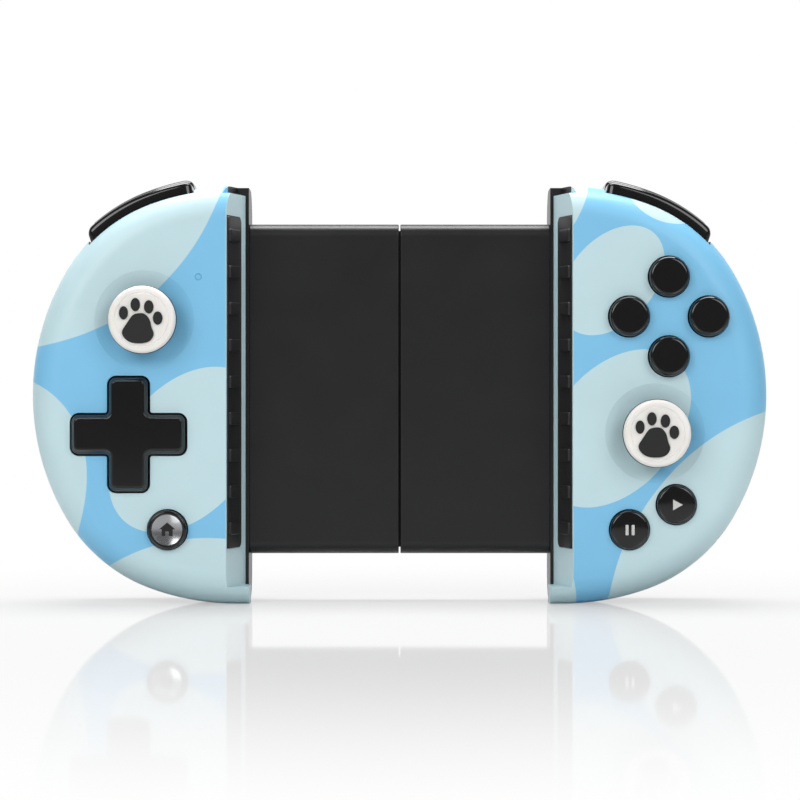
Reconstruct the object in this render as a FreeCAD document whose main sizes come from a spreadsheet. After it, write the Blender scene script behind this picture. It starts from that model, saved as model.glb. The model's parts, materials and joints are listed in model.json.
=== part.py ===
"""Stretching mobile gamepad: two grips on a sliding centre, holding a phone between them.

Millimetres. +X is to the right as the player sees it, the buttons face -Y and +Z is up. The origin is
at the middle of the base that the gamepad stands on, halfway between the stick caps and the grips' backs.
"""
import FreeCAD
import Part
import Sketcher
import math
import os
import re

doc = FreeCAD.newDocument("mobile_gamepad")
sheet = doc.addObject("Spreadsheet::Sheet", "Size")

# Every size with what it measures. One given as text follows from sizes above it.
SIZES = [
    ("grip_height", 97.5, "grip, bottom to top"),
    ("half_width", 85.7, "centre to a grip's outermost point"),
    ("bottom_ease", 9.25, "how far the bottom and top arcs' radius is over half the grip's height"),
    ("corner_ease", 10.75, "how far the corner arcs' radius is under half the grip's height"),
    ("side_ease", 8.25, "how far the side arc's radius is over half the grip's height"),
    ("bottom_arc", "grip_height / 2 + bottom_ease", "outline radius beside the flat bottom and top"),
    ("corner_arc", "grip_height / 2 - corner_ease", "outline radius at the corners"),
    ("side_arc", "grip_height / 2 + side_ease", "outline radius of the outer side"),
    ("front_depth", 12.0, "front shell, face to parting line"),
    ("rear_depth", 14.0, "rear shell, parting line to back"),
    ("cap_stand", 6.5, "face to the top of a stick cap"),
    ("wall", 1.8, "shell wall"),
    ("face_round", 7.5, "rounding of the face's outer edge"),
    ("back_round", 7.0, "rounding of the back's outer edge"),
    ("face_width", 45.6, "grip at its face, outermost point to the phone cradle's wall"),
    ("wall_lean", 3.8, "how far the cradle's wall leans in over the front shell's depth"),
    ("lip_stand", 1.3, "lip below the phone beyond the cradle's wall at the parting line"),
    ("cradle_front", "half_width - face_width", "centre to the phone cradle's wall at the face"),
    ("cradle_back", "cradle_front - wall_lean", "centre to the phone cradle's wall at the parting line"),
    ("lip_reach", "cradle_back - lip_stand", "centre to the end of the lip below the phone"),
    ("flat_run", 3.3, "end of the lip to where the flat bottom begins to curve"),
    ("flat_end", "lip_reach + flat_run", "centre to where the flat bottom begins to curve"),
    ("lip_height", 4.2, "lip below the phone"),
    ("crown_drop", 1.9, "grip top to the top of the cradle's wall"),
    ("pad_low", 13.1, "underside of the rubber pad"),
    ("pad_drop", 7.1, "grip top to the top of the rubber pad"),
    ("pad_high", "grip_height - pad_drop", "top of the rubber pad"),
    ("pad_margin", 0.5, "face to the rubber pad"),
    ("pad_depth", 8.4, "rubber pad, front to back"),
    ("pad_thick", 0.7, "rubber pad"),
    ("pad_inlay", 0.4, "how deep the pad's pocket is"),
    ("rib_pitch", 8.5, "spacing of the pad's ribs"),
    ("rib_width", 3.0, "each rib of the pad"),
    ("rib_rise", 0.6, "each rib above the pad"),
    ("rib_margin", 0.4, "front of the pad to the end of a rib"),
    ("rib_short", 2.2, "back of the pad to the end of a rib"),
    ("bracket_low", 11.3, "underside of the centre bracket"),
    ("bracket_drop", 8.4, "grip top to the top of the centre bracket"),
    ("bracket_high", "grip_height - bracket_drop", "top of the centre bracket"),
    ("bracket_depth", 10.0, "centre bracket, front to back"),
    ("bracket_split", 4.2, "centre bracket's front cover, front to back"),
    ("bracket_wall", 1.4, "centre bracket's covers"),
    ("bracket_round", 3.0, "rounding of the bracket's long edges"),
    ("bracket_gap", 0.2, "centre to the end of either bracket half"),
    ("slide_end_in", 25.7, "grip's outermost point to the end of the inner slide"),
    ("slide_reach", "half_width - slide_end_in", "centre to the end of the inner slide"),
    ("slide_margin", 11.9, "bracket's long edge to the inner slide's"),
    ("slide_height", "bracket_high - bracket_low - 2 * slide_margin", "inner slide, bottom to top"),
    ("slide_play", 0.4, "slide to bracket, on each side"),
    ("slide_plate", 1.4, "each plate of the inner slide"),
    ("travel", 45.0, "how far each grip pulls out"),
    ("pinion_pitch", 4.0, "pitch radius of the sync pinion"),
    ("pinion_teeth", 10.0, "teeth of the sync pinion"),
    ("post_radius", 1.5, "post that the sync pinion turns on"),
    ("rack_thick", 2.6, "racks and pinion"),
    ("rack_width", 4.0, "rack from its pitch line to its back"),
    ("spring_radius", 1.15, "return spring, to the wire's centre"),
    ("spring_wire", 0.5, "return spring's wire, across"),
    ("spring_pitch", 2.4, "return spring, turn to turn"),
    ("board_thick", 1.6, "circuit boards"),
    ("running_gap", 0.05, "play of a pin in its hole, on each side"),
    ("button_gap", 0.3, "play round a button"),
    ("stick_in", 26.7, "grip's outermost point to either stick"),
    ("left_stick_up", 17.25, "grip's mid-height up to the left stick"),
    ("right_stick_down", 8.85, "grip's mid-height down to the right stick"),
    ("stick_reach", "half_width - stick_in", "centre to either stick"),
    ("left_stick_height", "grip_height / 2 + left_stick_up", "base to the left stick"),
    ("right_stick_height", "grip_height / 2 - right_stick_down", "base to the right stick"),
    ("dish_radius", 11.5, "dish round a stick, at the face"),
    ("dish_depth", 1.5, "dish round a stick"),
    ("dish_floor", 6.2, "dish round a stick, at its floor"),
    ("stick_hole", 4.3, "opening for a stick's shaft"),
    ("stick_pivot_depth", 7.2, "face to a stick's pivot"),
    ("cap_radius", 7.75, "stick cap"),
    ("cap_thick", 1.9, "white stick cap"),
    ("head_thick", 1.3, "black head under the cap"),
    ("paw_rise", 0.35, "paw relief above the cap"),
    ("dpad_in", 23.1, "grip's outermost point to the direction pad"),
    ("dpad_down", 9.15, "grip's mid-height down to the direction pad"),
    ("dpad_x", "half_width - dpad_in", "centre to the direction pad"),
    ("dpad_z", "grip_height / 2 - dpad_down", "base to the direction pad"),
    ("dpad_span", 26.2, "direction pad, end to end"),
    ("dpad_arm", 9.0, "direction pad, width of an arm"),
    ("dpad_rise", 2.0, "direction pad above the face"),
    ("dpad_bevel", 1.4, "direction pad's rounded edge"),
    ("dpad_corner", 1.6, "rounding of the corners at the direction pad's tips"),
    ("dpad_inner", 1.0, "rounding of the direction pad's inner corners"),
    ("dpad_play", 0.5, "play round the direction pad"),
    ("buttons_in", 23.5, "grip's outermost point to the middle of the four buttons"),
    ("buttons_up", 18.1, "grip's mid-height up to the middle of the four buttons"),
    ("button_x", "half_width - buttons_in", "centre to the middle of the four buttons"),
    ("button_z", "grip_height / 2 + buttons_up", "base to the middle of the four buttons"),
    ("button_step", 9.2, "middle to each of the four buttons"),
    ("button_radius", 4.6, "each of the four buttons"),
    ("button_rise", 2.3, "buttons above the face"),
    ("button_travel", 1.0, "how far a button goes in"),
    ("flange", 0.7, "flange that keeps a button in, beyond its side"),
    ("start_in", 21.8, "grip's outermost point to the start button"),
    ("start_down", 25.35, "grip's mid-height down to the start button"),
    ("select_in", 32.6, "grip's outermost point to the select button"),
    ("home_in", 32.1, "grip's outermost point to the home button"),
    ("select_down", 31.15, "grip's mid-height down to the select and home buttons"),
    ("start_x", "half_width - start_in", "centre to the start button"),
    ("start_z", "grip_height / 2 - start_down", "base to the start button"),
    ("select_x", "half_width - select_in", "centre to the select button"),
    ("home_x", "half_width - home_in", "centre to the home button"),
    ("select_z", "grip_height / 2 - select_down", "base to the select and home buttons"),
    ("small_radius", 4.5, "start, select and home buttons"),
    ("small_rise", 1.6, "start, select and home buttons above the face"),
    ("lens_in", 39.2, "grip's outermost point to the indicator"),
    ("lens_up", 27.25, "grip's mid-height up to the indicator"),
    ("lens_x", "half_width - lens_in", "centre to the indicator"),
    ("lens_z", "grip_height / 2 + lens_up", "base to the indicator"),
    ("lens_radius", 0.8, "indicator"),
    ("pin_in", 35.7, "grip's outermost point to the shoulder keys' pin"),
    ("pin_x", "half_width - pin_in", "centre to the shoulder keys' pin"),
    ("pin_drop", 6.0, "grip top to the shoulder keys' pin"),
    ("pin_radius", 0.8, "shoulder keys' pin"),
    ("bumper_rise", 2.0, "bumper above the grip's outline"),
    ("trigger_rise", 3.2, "trigger above the grip's outline"),
    ("key_thick", 4.0, "shoulder keys, outline to underside"),
    ("key_start", 11.8, "lean of the shoulder keys' inner end, degrees from straight up"),
    ("key_lead", 2.77, "shoulder keys' inner end to their pin, at the pin's height"),
    ("key_root", "pin_x - key_lead - (grip_height / 2 - pin_drop) * tan(key_start)",
     "centre to the line of the shoulder keys' inner end, at the grip's mid-height"),
    ("key_reach", 23.2, "shoulder keys' pin to their outer end"),
    ("key_gap", 0.4, "play round a shoulder key"),
    ("bumper_front", 4.2, "face to the front of a bumper"),
    ("trigger_depth", 10.6, "trigger, front to back"),
    ("barrel_wall", 1.2, "wall of a barrel or boss round the shoulder keys' pin"),
    ("switch_width", 6.0, "shoulder switches"),
    ("switch_height", 4.5, "shoulder switches"),
    ("switch_depth", 4.0, "shoulder switches"),
    ("plunger_rise", 2.9, "shoulder switches' plungers"),
    ("front_switch_out", 8.0, "shoulder keys' pin to the bumper's switch"),
    ("front_switch_drop", 9.1, "grip top to the bumper's switch"),
    ("back_switch_out", 18.0, "shoulder keys' pin to the trigger's switch"),
    ("back_switch_drop", 15.8, "grip top to the trigger's switch"),
    ("screw_radius", 1.0, "screw thread"),
    ("screw_head", 1.8, "screw head"),
    ("screw_socket", 0.6, "recess in a screw's head"),
    ("screw_sink", 2.4, "back to the floor that a screw's head lies on"),
    ("screw_bite", 4.0, "how far a screw goes into the front shell's post"),
    ("boss_radius", 2.4, "screw bosses"),
    ("top_screw_in", 39.7, "grip's outermost point to the top screw"),
    ("top_screw_drop", 13.0, "grip top to the top screw"),
    ("side_screw_in", 9.5, "grip's outermost point to the side screw"),
    ("side_screw_up", 2.2, "grip's mid-height up to the side screw"),
    ("low_screw_in", 25.7, "grip's outermost point to the lower screw"),
    ("low_screw_down", 35.95, "grip's mid-height down to the lower screw"),
    ("corner_screw_in", 40.2, "grip's outermost point to the screw beside the cradle"),
    ("corner_screw_down", 39.25, "grip's mid-height down to the screw beside the cradle"),
    ("board_inset", 3.2, "grip's outline to the circuit board"),
    ("board_foot", 4.0, "grip's base to the circuit board"),
    ("battery_thick", 6.5, "battery cell"),
    ("battery_in", 15.0, "grip's outermost point to the battery cell"),
    ("battery_gap", 1.5, "battery cell to the end of the inner slide"),
    ("battery_down", 21.5, "grip's mid-height down to the battery cell's underside"),
    ("battery_up", 4.5, "grip's mid-height up to the battery cell's top"),
    ("port_in", 33.1, "grip's outermost point to the charging port"),
    ("port_width", 9.0, "charging port"),
    ("port_height", 3.2, "charging port"),
    ("port_low", 2.9, "base to the charging port's mouth"),
    ("port_length", 7.3, "charging port"),
    ("port_wall", 0.35, "charging port's shell"),
    ("port_play", 0.2, "play round the charging port"),
    ("module_half", 7.5, "stick module's middle to the side of its housing"),
    ("module_front", 2.6, "stick's pivot to the front of its housing"),
    ("well_across", 6.0, "stick's middle to the side of its housing's well"),
    ("well_upright", 5.6, "stick's middle to the top of its housing's well"),
    ("sensor_thick", 2.8, "sensors beside and below a stick's housing"),
    ("sensor_half", 4.0, "sensors' middle to either end"),
    ("yoke_across", 5.2, "stick's middle to the side of its yoke"),
    ("yoke_upright", 4.6, "stick's middle to the top of its yoke"),
    ("yoke_bar", 1.6, "bars of a stick's yoke"),
    ("yoke_depth", 1.2, "stick's pivot to the front and back of its yoke and block"),
    ("trunnion_radius", 1.0, "pins of a stick's yoke"),
    ("block_across", 2.6, "stick's middle to the side of its block"),
    ("block_upright", 2.5, "stick's middle to the top of its block"),
    ("gudgeon_radius", 0.8, "pins of a stick's block"),
    ("shaft_radius", 1.25, "stick's shaft"),
    ("neck_radius", 1.9, "stick's shaft below its head"),
    ("rocker_radius", 1.0, "pins of the direction pad's spider"),
    ("rocker_depth", 1.6, "face's inside to the direction pad's spider"),
    ("dome_foot", 4.0, "rubber domes' feet"),
    ("dome_thick", 0.8, "rubber sheet under the buttons"),
    ("dome_rise", 1.6, "rubber domes above their sheet"),
    ("web_half", 2.0, "half the width of a strip between rubber domes"),
]
for row, (alias, number, note) in enumerate(SIZES, start=1):
    sheet.set(f"A{row}", note)
    sheet.set(f"B{row}", f"={number}")
    sheet.setAlias(f"B{row}", alias)
doc.recompute()

ALIASES = {alias for alias, number, note in SIZES}

# Depths that many pieces share, from the face back. They are worked out from the sheet.
FACE = "((cap_stand + paw_rise - front_depth - rear_depth) / 2)"
PARTING = f"({FACE} + front_depth)"
BACK = f"({PARTING} + rear_depth)"
INSIDE = f"({FACE} + wall)"
BOARD_BACK = f"({PARTING} + board_thick)"
SLIDE_FRONT = f"({PARTING} + bracket_wall + slide_play)"
SLIDE_BACK = f"({PARTING} + bracket_depth - bracket_wall - slide_play)"
MIDDLE = "((bracket_low + bracket_high) / 2)"


def formula(text):
    """Turn a size written in plain aliases into one that the sheet can work out."""
    return re.sub(r"[a-z_]+", lambda word: "Size." + word[0] if word[0] in ALIASES else word[0], str(text))


def size(text):
    """The number that a size written in aliases has now."""
    return float(sheet.evalExpression(formula(text)))


def bind(item, **fields):
    """Bind an object's sizes and place to the sheet."""
    for field, text in fields.items():
        item.setExpression(field.replace("__", "."), formula(text))
    return item


def place(item, x, y, z):
    """Bind where an object stands."""
    return bind(item, Placement__Base__x=x, Placement__Base__y=y, Placement__Base__z=z)


def box(name, x, y, z):
    """A block between three pairs of sizes."""
    item = doc.addObject("Part::Box", name)
    bind(item, Length=f"({x[1]}) - ({x[0]})", Width=f"({y[1]}) - ({y[0]})", Height=f"({z[1]}) - ({z[0]})")
    return place(item, x[0], y[0], z[0])


TURNS = {
    "x": FreeCAD.Rotation(FreeCAD.Vector(0, 1, 0), 90),
    "y": FreeCAD.Rotation(FreeCAD.Vector(1, 0, 0), -90),
    "z": FreeCAD.Rotation(),
}


def rod(name, radius, x, y, z, along="y"):
    """A round rod. The size along its axis is a pair, the other two are its centre."""
    ends = {"x": x, "y": y, "z": z}[along]
    item = doc.addObject("Part::Cylinder", name)
    item.Placement.Rotation = TURNS[along]
    bind(item, Radius=radius, Height=f"({ends[1]}) - ({ends[0]})")
    starts = [ends[0] if spot is ends else spot for spot in (x, y, z)]
    return place(item, *starts)


def cone(name, front_radius, back_radius, x, y, z):
    """A round taper along the depth, between two radii."""
    item = doc.addObject("Part::Cone", name)
    item.Placement.Rotation = TURNS["y"]
    bind(item, Radius1=front_radius, Radius2=back_radius, Height=f"({y[1]}) - ({y[0]})")
    return place(item, x, y[0], z)


def cut(name, base, *tools):
    """The base with the tools taken away."""
    if len(tools) > 1:
        tools = [fuse(name + "_cutter", *tools)]
    item = doc.addObject("Part::Cut", name)
    item.Base = base
    item.Tool = tools[0]
    return item


def fuse(name, *pieces):
    """Several solids joined into one."""
    item = doc.addObject("Part::MultiFuse", name)
    item.Shapes = list(pieces)
    return item


def group(name, *pieces):
    """Several solids kept apart in one node."""
    item = doc.addObject("Part::Compound", name)
    item.Links = list(pieces)
    return item


def common(name, first, second):
    """What two solids share."""
    item = doc.addObject("Part::Common", name)
    item.Base = first
    item.Tool = second
    return item


def mirror(name, source):
    """The same piece for the other grip."""
    item = doc.addObject("Part::Mirroring", name)
    item.Source = source
    item.Normal = FreeCAD.Vector(1, 0, 0)
    return item


def round_edges(name, base, radius, wanted):
    """Round the edges of a solid that a test picks out."""
    doc.recompute()
    item = doc.addObject("Part::Fillet", name)
    item.Base = base
    reach = size(radius)
    item.Edges = [(i, reach, reach) for i, edge in enumerate(base.Shape.Edges, start=1) if wanted(edge)]
    return item


def at(edge, axis, text):
    """Whether both ends of an edge lie at one place along an axis."""
    goal = size(text)
    return all(abs(getattr(end.Point, axis) - goal) < 0.01 for end in edge.Vertexes)


def grip_arcs():
    """Centres and turns of the arcs round a left grip, worked out so that each runs into the next."""
    first = FreeCAD.Vector(-size("flat_end"), size("bottom_arc"))
    third = FreeCAD.Vector(size("side_arc - half_width"), size("grip_height / 2"))
    near = size("bottom_arc - corner_arc")
    far = size("side_arc - corner_arc")
    gap = third - first
    along = (near * near - far * far + gap.Length * gap.Length) / (2 * gap.Length)
    across = math.sqrt(near * near - along * along)
    line = FreeCAD.Vector(gap).normalize()
    second = first + line * along + FreeCAD.Vector(line.y, -line.x) * across
    low_turn = math.atan2(first.x - second.x, first.y - second.y)
    high_turn = math.atan2(third.x - second.x, third.y - second.y)
    return first, second, third, low_turn, high_turn


def grip_block(name, inset, near, y, rounding, round_at):
    """A block with a left grip's outline drawn in by an inset, its outer edge rounded at one depth."""
    first, second, third, low_turn, high_turn = grip_arcs()
    body = doc.addObject("PartDesign::Body", name)
    sketch = body.newObject("Sketcher::SketchObject", name + "_outline")
    plane = [item for item in body.Origin.OriginFeatures if item.Role == "XZ_Plane"][0]
    sketch.AttachmentSupport = (plane, [""])
    sketch.MapMode = "FlatFace"
    bind(sketch, AttachmentOffset__Base__z=f"-({y[1]})")
    high = size("grip_height")
    flat = FreeCAD.Vector(0, 0, 1)

    def arc(centre, radius, start, end):
        return Part.ArcOfCircle(Part.Circle(centre, flat, size(f"{radius} - ({inset})")), start, end)

    def flipped(point):
        return FreeCAD.Vector(point.x, high - point.y)

    half = math.pi / 2
    arcs = [
        arc(first, "bottom_arc", 3 * half - low_turn, 3 * half),
        arc(second, "corner_arc", 3 * half - high_turn, 3 * half - low_turn),
        arc(third, "side_arc", half + high_turn, 3 * half - high_turn),
        arc(flipped(second), "corner_arc", half + low_turn, half + high_turn),
        arc(flipped(first), "bottom_arc", half, half + low_turn),
    ]
    side = -size(near)
    low_corner = FreeCAD.Vector(side, size(inset))
    high_corner = flipped(low_corner)
    lines = [
        Part.LineSegment(low_corner, arcs[0].EndPoint),
        Part.LineSegment(arcs[4].StartPoint, high_corner),
        Part.LineSegment(high_corner, low_corner),
    ]
    sketch.addGeometry(arcs + lines, False)
    rules = [("Tangent", i, 1, i + 1, 2) for i in range(4)]
    rules += [("Tangent", 5, 2, 0, 2), ("Tangent", 4, 1, 6, 1), ("Coincident", 6, 2, 7, 1)]
    rules += [("Coincident", 7, 2, 5, 1), ("Horizontal", 5), ("Horizontal", 6), ("Vertical", 7)]
    sketch.addConstraint([Sketcher.Constraint(*rule) for rule in rules])

    def dimension(text, kind, *ends):
        index = sketch.addConstraint(Sketcher.Constraint(kind, *ends, size(text)))
        sketch.setExpression(f"Constraints[{index}]", formula(text))

    for i, radius in enumerate(("bottom_arc", "corner_arc", "side_arc", "corner_arc", "bottom_arc")):
        dimension(f"{radius} - ({inset})", "Radius", i)
    dimension("flat_end", "DistanceX", 0, 3, -1, 1)
    dimension("bottom_arc", "DistanceY", -1, 1, 0, 3)
    dimension("half_width - side_arc", "DistanceX", 2, 3, -1, 1)
    dimension("grip_height / 2", "DistanceY", -1, 1, 2, 3)
    dimension("flat_end", "DistanceX", 4, 3, -1, 1)
    dimension("grip_height - bottom_arc", "DistanceY", -1, 1, 4, 3)
    dimension(near, "DistanceX", 7, 1, -1, 1)
    pad = body.newObject("PartDesign::Pad", name + "_pad")
    pad.Profile = sketch
    bind(pad, Length=f"({y[1]}) - ({y[0]})")
    if rounding:
        doc.recompute()
        fillet = body.newObject("PartDesign::Fillet", name + "_round")
        edges = pad.Shape.Edges
        rim = [i for i, edge in enumerate(edges, start=1) if at(edge, "y", round_at)]
        rim = [i for i in rim if not at(edges[i - 1], "x", f"-({near})")]
        fillet.Base = (pad, [f"Edge{i}" for i in rim])
        bind(fillet, Radius=rounding)
    return body


def prism(name, plane_role, outline, ends):
    """A block with straight sides: an outline of corners on an origin plane, raised between two ends."""
    body = doc.addObject("PartDesign::Body", name)
    sketch = body.newObject("Sketcher::SketchObject", name + "_outline")
    plane = [item for item in body.Origin.OriginFeatures if item.Role == plane_role][0]
    sketch.AttachmentSupport = (plane, [""])
    sketch.MapMode = "FlatFace"
    start = f"-({ends[1]})" if plane_role == "XZ_Plane" else ends[0]
    bind(sketch, AttachmentOffset__Base__z=start)
    points = [FreeCAD.Vector(size(u), size(v)) for u, v in outline]
    count = len(points)
    sides = [Part.LineSegment(points[i], points[(i + 1) % count]) for i in range(count)]
    sketch.addGeometry(sides, False)
    joins = [Sketcher.Constraint("Coincident", i, 2, (i + 1) % count, 1) for i in range(count)]
    sketch.addConstraint(joins)
    for i, (u, v) in enumerate(outline):
        for kind, text in (("DistanceX", u), ("DistanceY", v)):
            index = sketch.addConstraint(Sketcher.Constraint(kind, -1, 1, i, 1, size(text)))
            sketch.setExpression(f"Constraints[{index}]", formula(text))
    pad = body.newObject("PartDesign::Pad", name + "_pad")
    pad.Profile = sketch
    bind(pad, Length=f"({ends[1]}) - ({ends[0]})")
    return body


def slant(name, outward, z):
    """The wedge of space between the cradle's leaning wall and the centre, the wall moved outward."""
    lean = "(wall_lean / front_depth)"
    outline = [
        ("0", f"{FACE} - 1"),
        (f"-(cradle_front + {lean} + {outward})", f"{FACE} - 1"),
        (f"-(cradle_back - {lean} + {outward})", f"{PARTING} + 1"),
        ("0", f"{PARTING} + 1"),
    ]
    return prism(name, "XY_Plane", outline, z)


# Places of the screws in a left grip, as distances from the centre and from the base.
SCREWS = [
    ("half_width - top_screw_in", "grip_height - top_screw_drop"),
    ("half_width - side_screw_in", "grip_height / 2 + side_screw_up"),
    ("half_width - low_screw_in", "grip_height / 2 - low_screw_down"),
    ("half_width - corner_screw_in", "grip_height / 2 - corner_screw_down"),
]
SIDES = {"left": "-", "right": ""}
PIN_Z = "(grip_height - pin_drop)"
STICKS = {"left": "left_stick_height", "right": "right_stick_height"}
BUTTONS = {
    "button_top": ("button_x", "button_z + button_step", "button_radius", "button_rise"),
    "button_right": ("button_x + button_step", "button_z", "button_radius", "button_rise"),
    "button_bottom": ("button_x", "button_z - button_step", "button_radius", "button_rise"),
    "button_left": ("button_x - button_step", "button_z", "button_radius", "button_rise"),
    "start_button": ("start_x", "start_z", "small_radius", "small_rise"),
    "select_button": ("select_x", "select_z", "small_radius", "small_rise"),
    "home_button": ("-home_x", "select_z", "small_radius", "small_rise"),
}
nodes = {}


def node(name, item):
    """Name a finished piece."""
    item.Label = name
    nodes[name] = item
    return item


def key_block(name, rise, thick, gap, y):
    """A stretch of the grip's upper outer edge, from a line near the pin to an arc round the pin."""
    outer = grip_block(name + "_outer", f"-({rise})", "lip_reach", y, "", FACE)
    inner = grip_block(name + "_inner", thick, "lip_reach", (f"{y[0]} - 1", f"{y[1]} + 1"), "", FACE)
    low = f"(key_start - ({gap}) * 360 / (3.1416 * grip_height))"
    outline = [
        ("-key_root", "grip_height / 2"),
        (f"-key_root - half_width * tan({low})", "grip_height / 2 + half_width"),
        ("-key_root - half_width * 2", "grip_height / 2 + half_width"),
    ]
    wedge = prism(name + "_wedge", "XZ_Plane", outline, (f"{y[0]} - 0.5", f"{y[1]} + 0.5"))
    swing = rod(name + "_swing", f"key_reach + ({gap})", "-pin_x", (f"{y[0]} - 0.5", f"{y[1]} + 0.5"), PIN_Z)
    return common(name, common(name + "_arc", cut(name + "_ring", outer, inner), swing), wedge)


# Front shell without its openings. The left one is built and the right one is its mirror image.
front_block = grip_block("front_block", "0", "lip_reach", (FACE, PARTING), "face_round", FACE)
front_hollow = cut(
    "front_hollow",
    grip_block("front_core", "wall", "lip_reach", (INSIDE, f"{PARTING} + 1"), "face_round - wall", INSIDE),
    slant("front_core_side", "wall", ("-1", "grip_height + 1")),
)
crown = slant("crown", "wall", ("grip_height - crown_drop", "grip_height + 1"))
pad_pocket_depth = (f"{FACE} + pad_margin", f"{FACE} + pad_margin + pad_depth")
pad_pocket = common(
    "pad_pocket",
    slant("pad_pocket_space", "pad_inlay", ("pad_low", "pad_high")),
    box("pad_pocket_box", ("-half_width", "0"), pad_pocket_depth, ("pad_low", "pad_high")),
)
front_shell_blank = cut(
    "front_shell_blank", front_block, front_hollow, crown, pad_pocket,
    slant("cradle_space", "0", ("lip_height", "grip_height + 2")),
)
bosses = [
    rod(f"front_boss_{i}", "boss_radius", f"-({x})", (f"{INSIDE} - 0.3", PARTING), z)
    for i, (x, z) in enumerate(SCREWS)
]
pilots = [
    rod(f"front_pilot_{i}", "screw_radius", f"-({x})", (f"{PARTING} - 5", f"{PARTING} + 1"), z)
    for i, (x, z) in enumerate(SCREWS)
]
pin_boss_depth = (f"{INSIDE} - 0.3", f"{FACE} + bumper_front - 0.3")
pin_boss = rod("front_pin_boss", "pin_radius + barrel_wall", "-pin_x", pin_boss_depth, PIN_Z)
pin_socket = rod("front_pin_socket", "pin_radius", "-pin_x", (f"{INSIDE} + 0.2", f"{PARTING} + 1"), PIN_Z)
bumper_slot_depth = (f"{FACE} + bumper_front - key_gap", f"{PARTING} + 1")
bumper_slot = key_block("bumper_slot", "2", "key_thick + 3.2", "key_gap", bumper_slot_depth)
boss_space = cut(
    "boss_space", grip_block("boss_block", "wall / 2", "lip_reach", (FACE, PARTING), "face_round - wall / 2", FACE),
    slant("boss_side", "wall / 2", ("-1", "grip_height + 1")),
)
inside_bosses = common("inside_bosses", fuse("front_bosses", pin_boss, *bosses), boss_space)
front_with_bosses = fuse("front_with_bosses", front_shell_blank, inside_bosses)
front_common = cut("front_common", front_with_bosses, bumper_slot, pin_socket, *pilots)
fronts = {"left": front_common, "right": mirror("front_common_right", front_common)}


def dish(side):
    """The raised inside and the hollow of the dish round one stick."""
    x = f"{SIDES[side]}stick_reach"
    z = STICKS[side]
    deep = (FACE, f"{FACE} + dish_depth")
    under = (f"{FACE} + 0.6", f"{FACE} + dish_depth + 1.2")
    outer = cone(side + "_dish_wall", "dish_radius + wall", "dish_floor + wall", x, under, z)
    hollow = cone(side + "_dish_hollow", "dish_radius", "dish_floor", x, deep, z)
    hole = rod(side + "_stick_opening", "stick_hole", x, (FACE, PARTING), z)
    return outer, [hollow, hole]


def button_openings(name):
    """The round opening in the face for one button, and the room behind it for the button's flange."""
    x, z, radius, rise = BUTTONS[name]
    opening = rod(name + "_opening", f"{radius} + button_gap", x, (f"{FACE} - 1", f"{INSIDE} + 1"), z)
    room = rod(name + "_room", f"{radius} + flange + button_gap", x, (f"{INSIDE} + 0.3", f"{INSIDE} + 4"), z)
    return [opening, room]


def dpad_cross(name, clear, rise, y_back):
    """A cross of two bars round the direction pad's centre."""
    bars = []
    for turn, (wide, tall) in enumerate((("dpad_span", "dpad_arm"), ("dpad_arm", "dpad_span"))):
        across = (f"-dpad_x - {wide} / 2 - ({clear})", f"-dpad_x + {wide} / 2 + ({clear})")
        upright = (f"dpad_z - {tall} / 2 - ({clear})", f"dpad_z + {tall} / 2 + ({clear})")
        bars.append(box(f"{name}_bar_{turn}", across, (f"{FACE} - ({rise})", y_back), upright))
    return bars


def tip_corner(edge):
    """Whether an edge runs along the depth at a tip of the cross."""
    start, end = [vertex.Point for vertex in edge.Vertexes[:2]]
    reach = max(abs(start.x + size("dpad_x")), abs(start.z - size("dpad_z")))
    return abs(end.y - start.y) > 1 and reach > size("dpad_arm")


def inner_corner(edge):
    """Whether an edge runs along the depth where two arms of the cross meet."""
    start, end = [vertex.Point for vertex in edge.Vertexes[:2]]
    reach = max(abs(start.x + size("dpad_x")), abs(start.z - size("dpad_z")))
    return abs(end.y - start.y) > 1 and reach < size("dpad_arm")


left_dish, left_dish_cuts = dish("left")
left_openings = left_dish_cuts + button_openings("home_button")
dpad_hole = fuse("dpad_hole", *dpad_cross("dpad_opening", "dpad_play", "1", f"{INSIDE} + 1"))
dpad_hole_tips = round_edges("dpad_hole_tips", dpad_hole, "dpad_corner + dpad_play", tip_corner)
left_openings.append(round_edges("dpad_hole_round", dpad_hole_tips, "dpad_inner - dpad_play", inner_corner))
lens_hole = rod("lens_opening", "lens_radius", "-lens_x", (f"{FACE} - 1", f"{INSIDE} + 1"), "lens_z")
left_openings.append(lens_hole)
left_front = cut("left_front", fuse("left_front_solid", fronts["left"], left_dish), *left_openings)
node("left_front_shell", left_front)

right_dish, right_dish_cuts = dish("right")
right_openings = list(right_dish_cuts)
for name in BUTTONS:
    if name != "home_button":
        right_openings += button_openings(name)
right_front = cut("right_front", fuse("right_front_solid", fronts["right"], right_dish), *right_openings)
node("right_front_shell", right_front)

# Indicator lens: a clear plug that fills its hole and ends flush with the face.
lens = rod("lens", "lens_radius", "-lens_x", (f"{FACE} + 0.1", f"{INSIDE} + 1"), "lens_z")
node("indicator_lens", lens)

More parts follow.
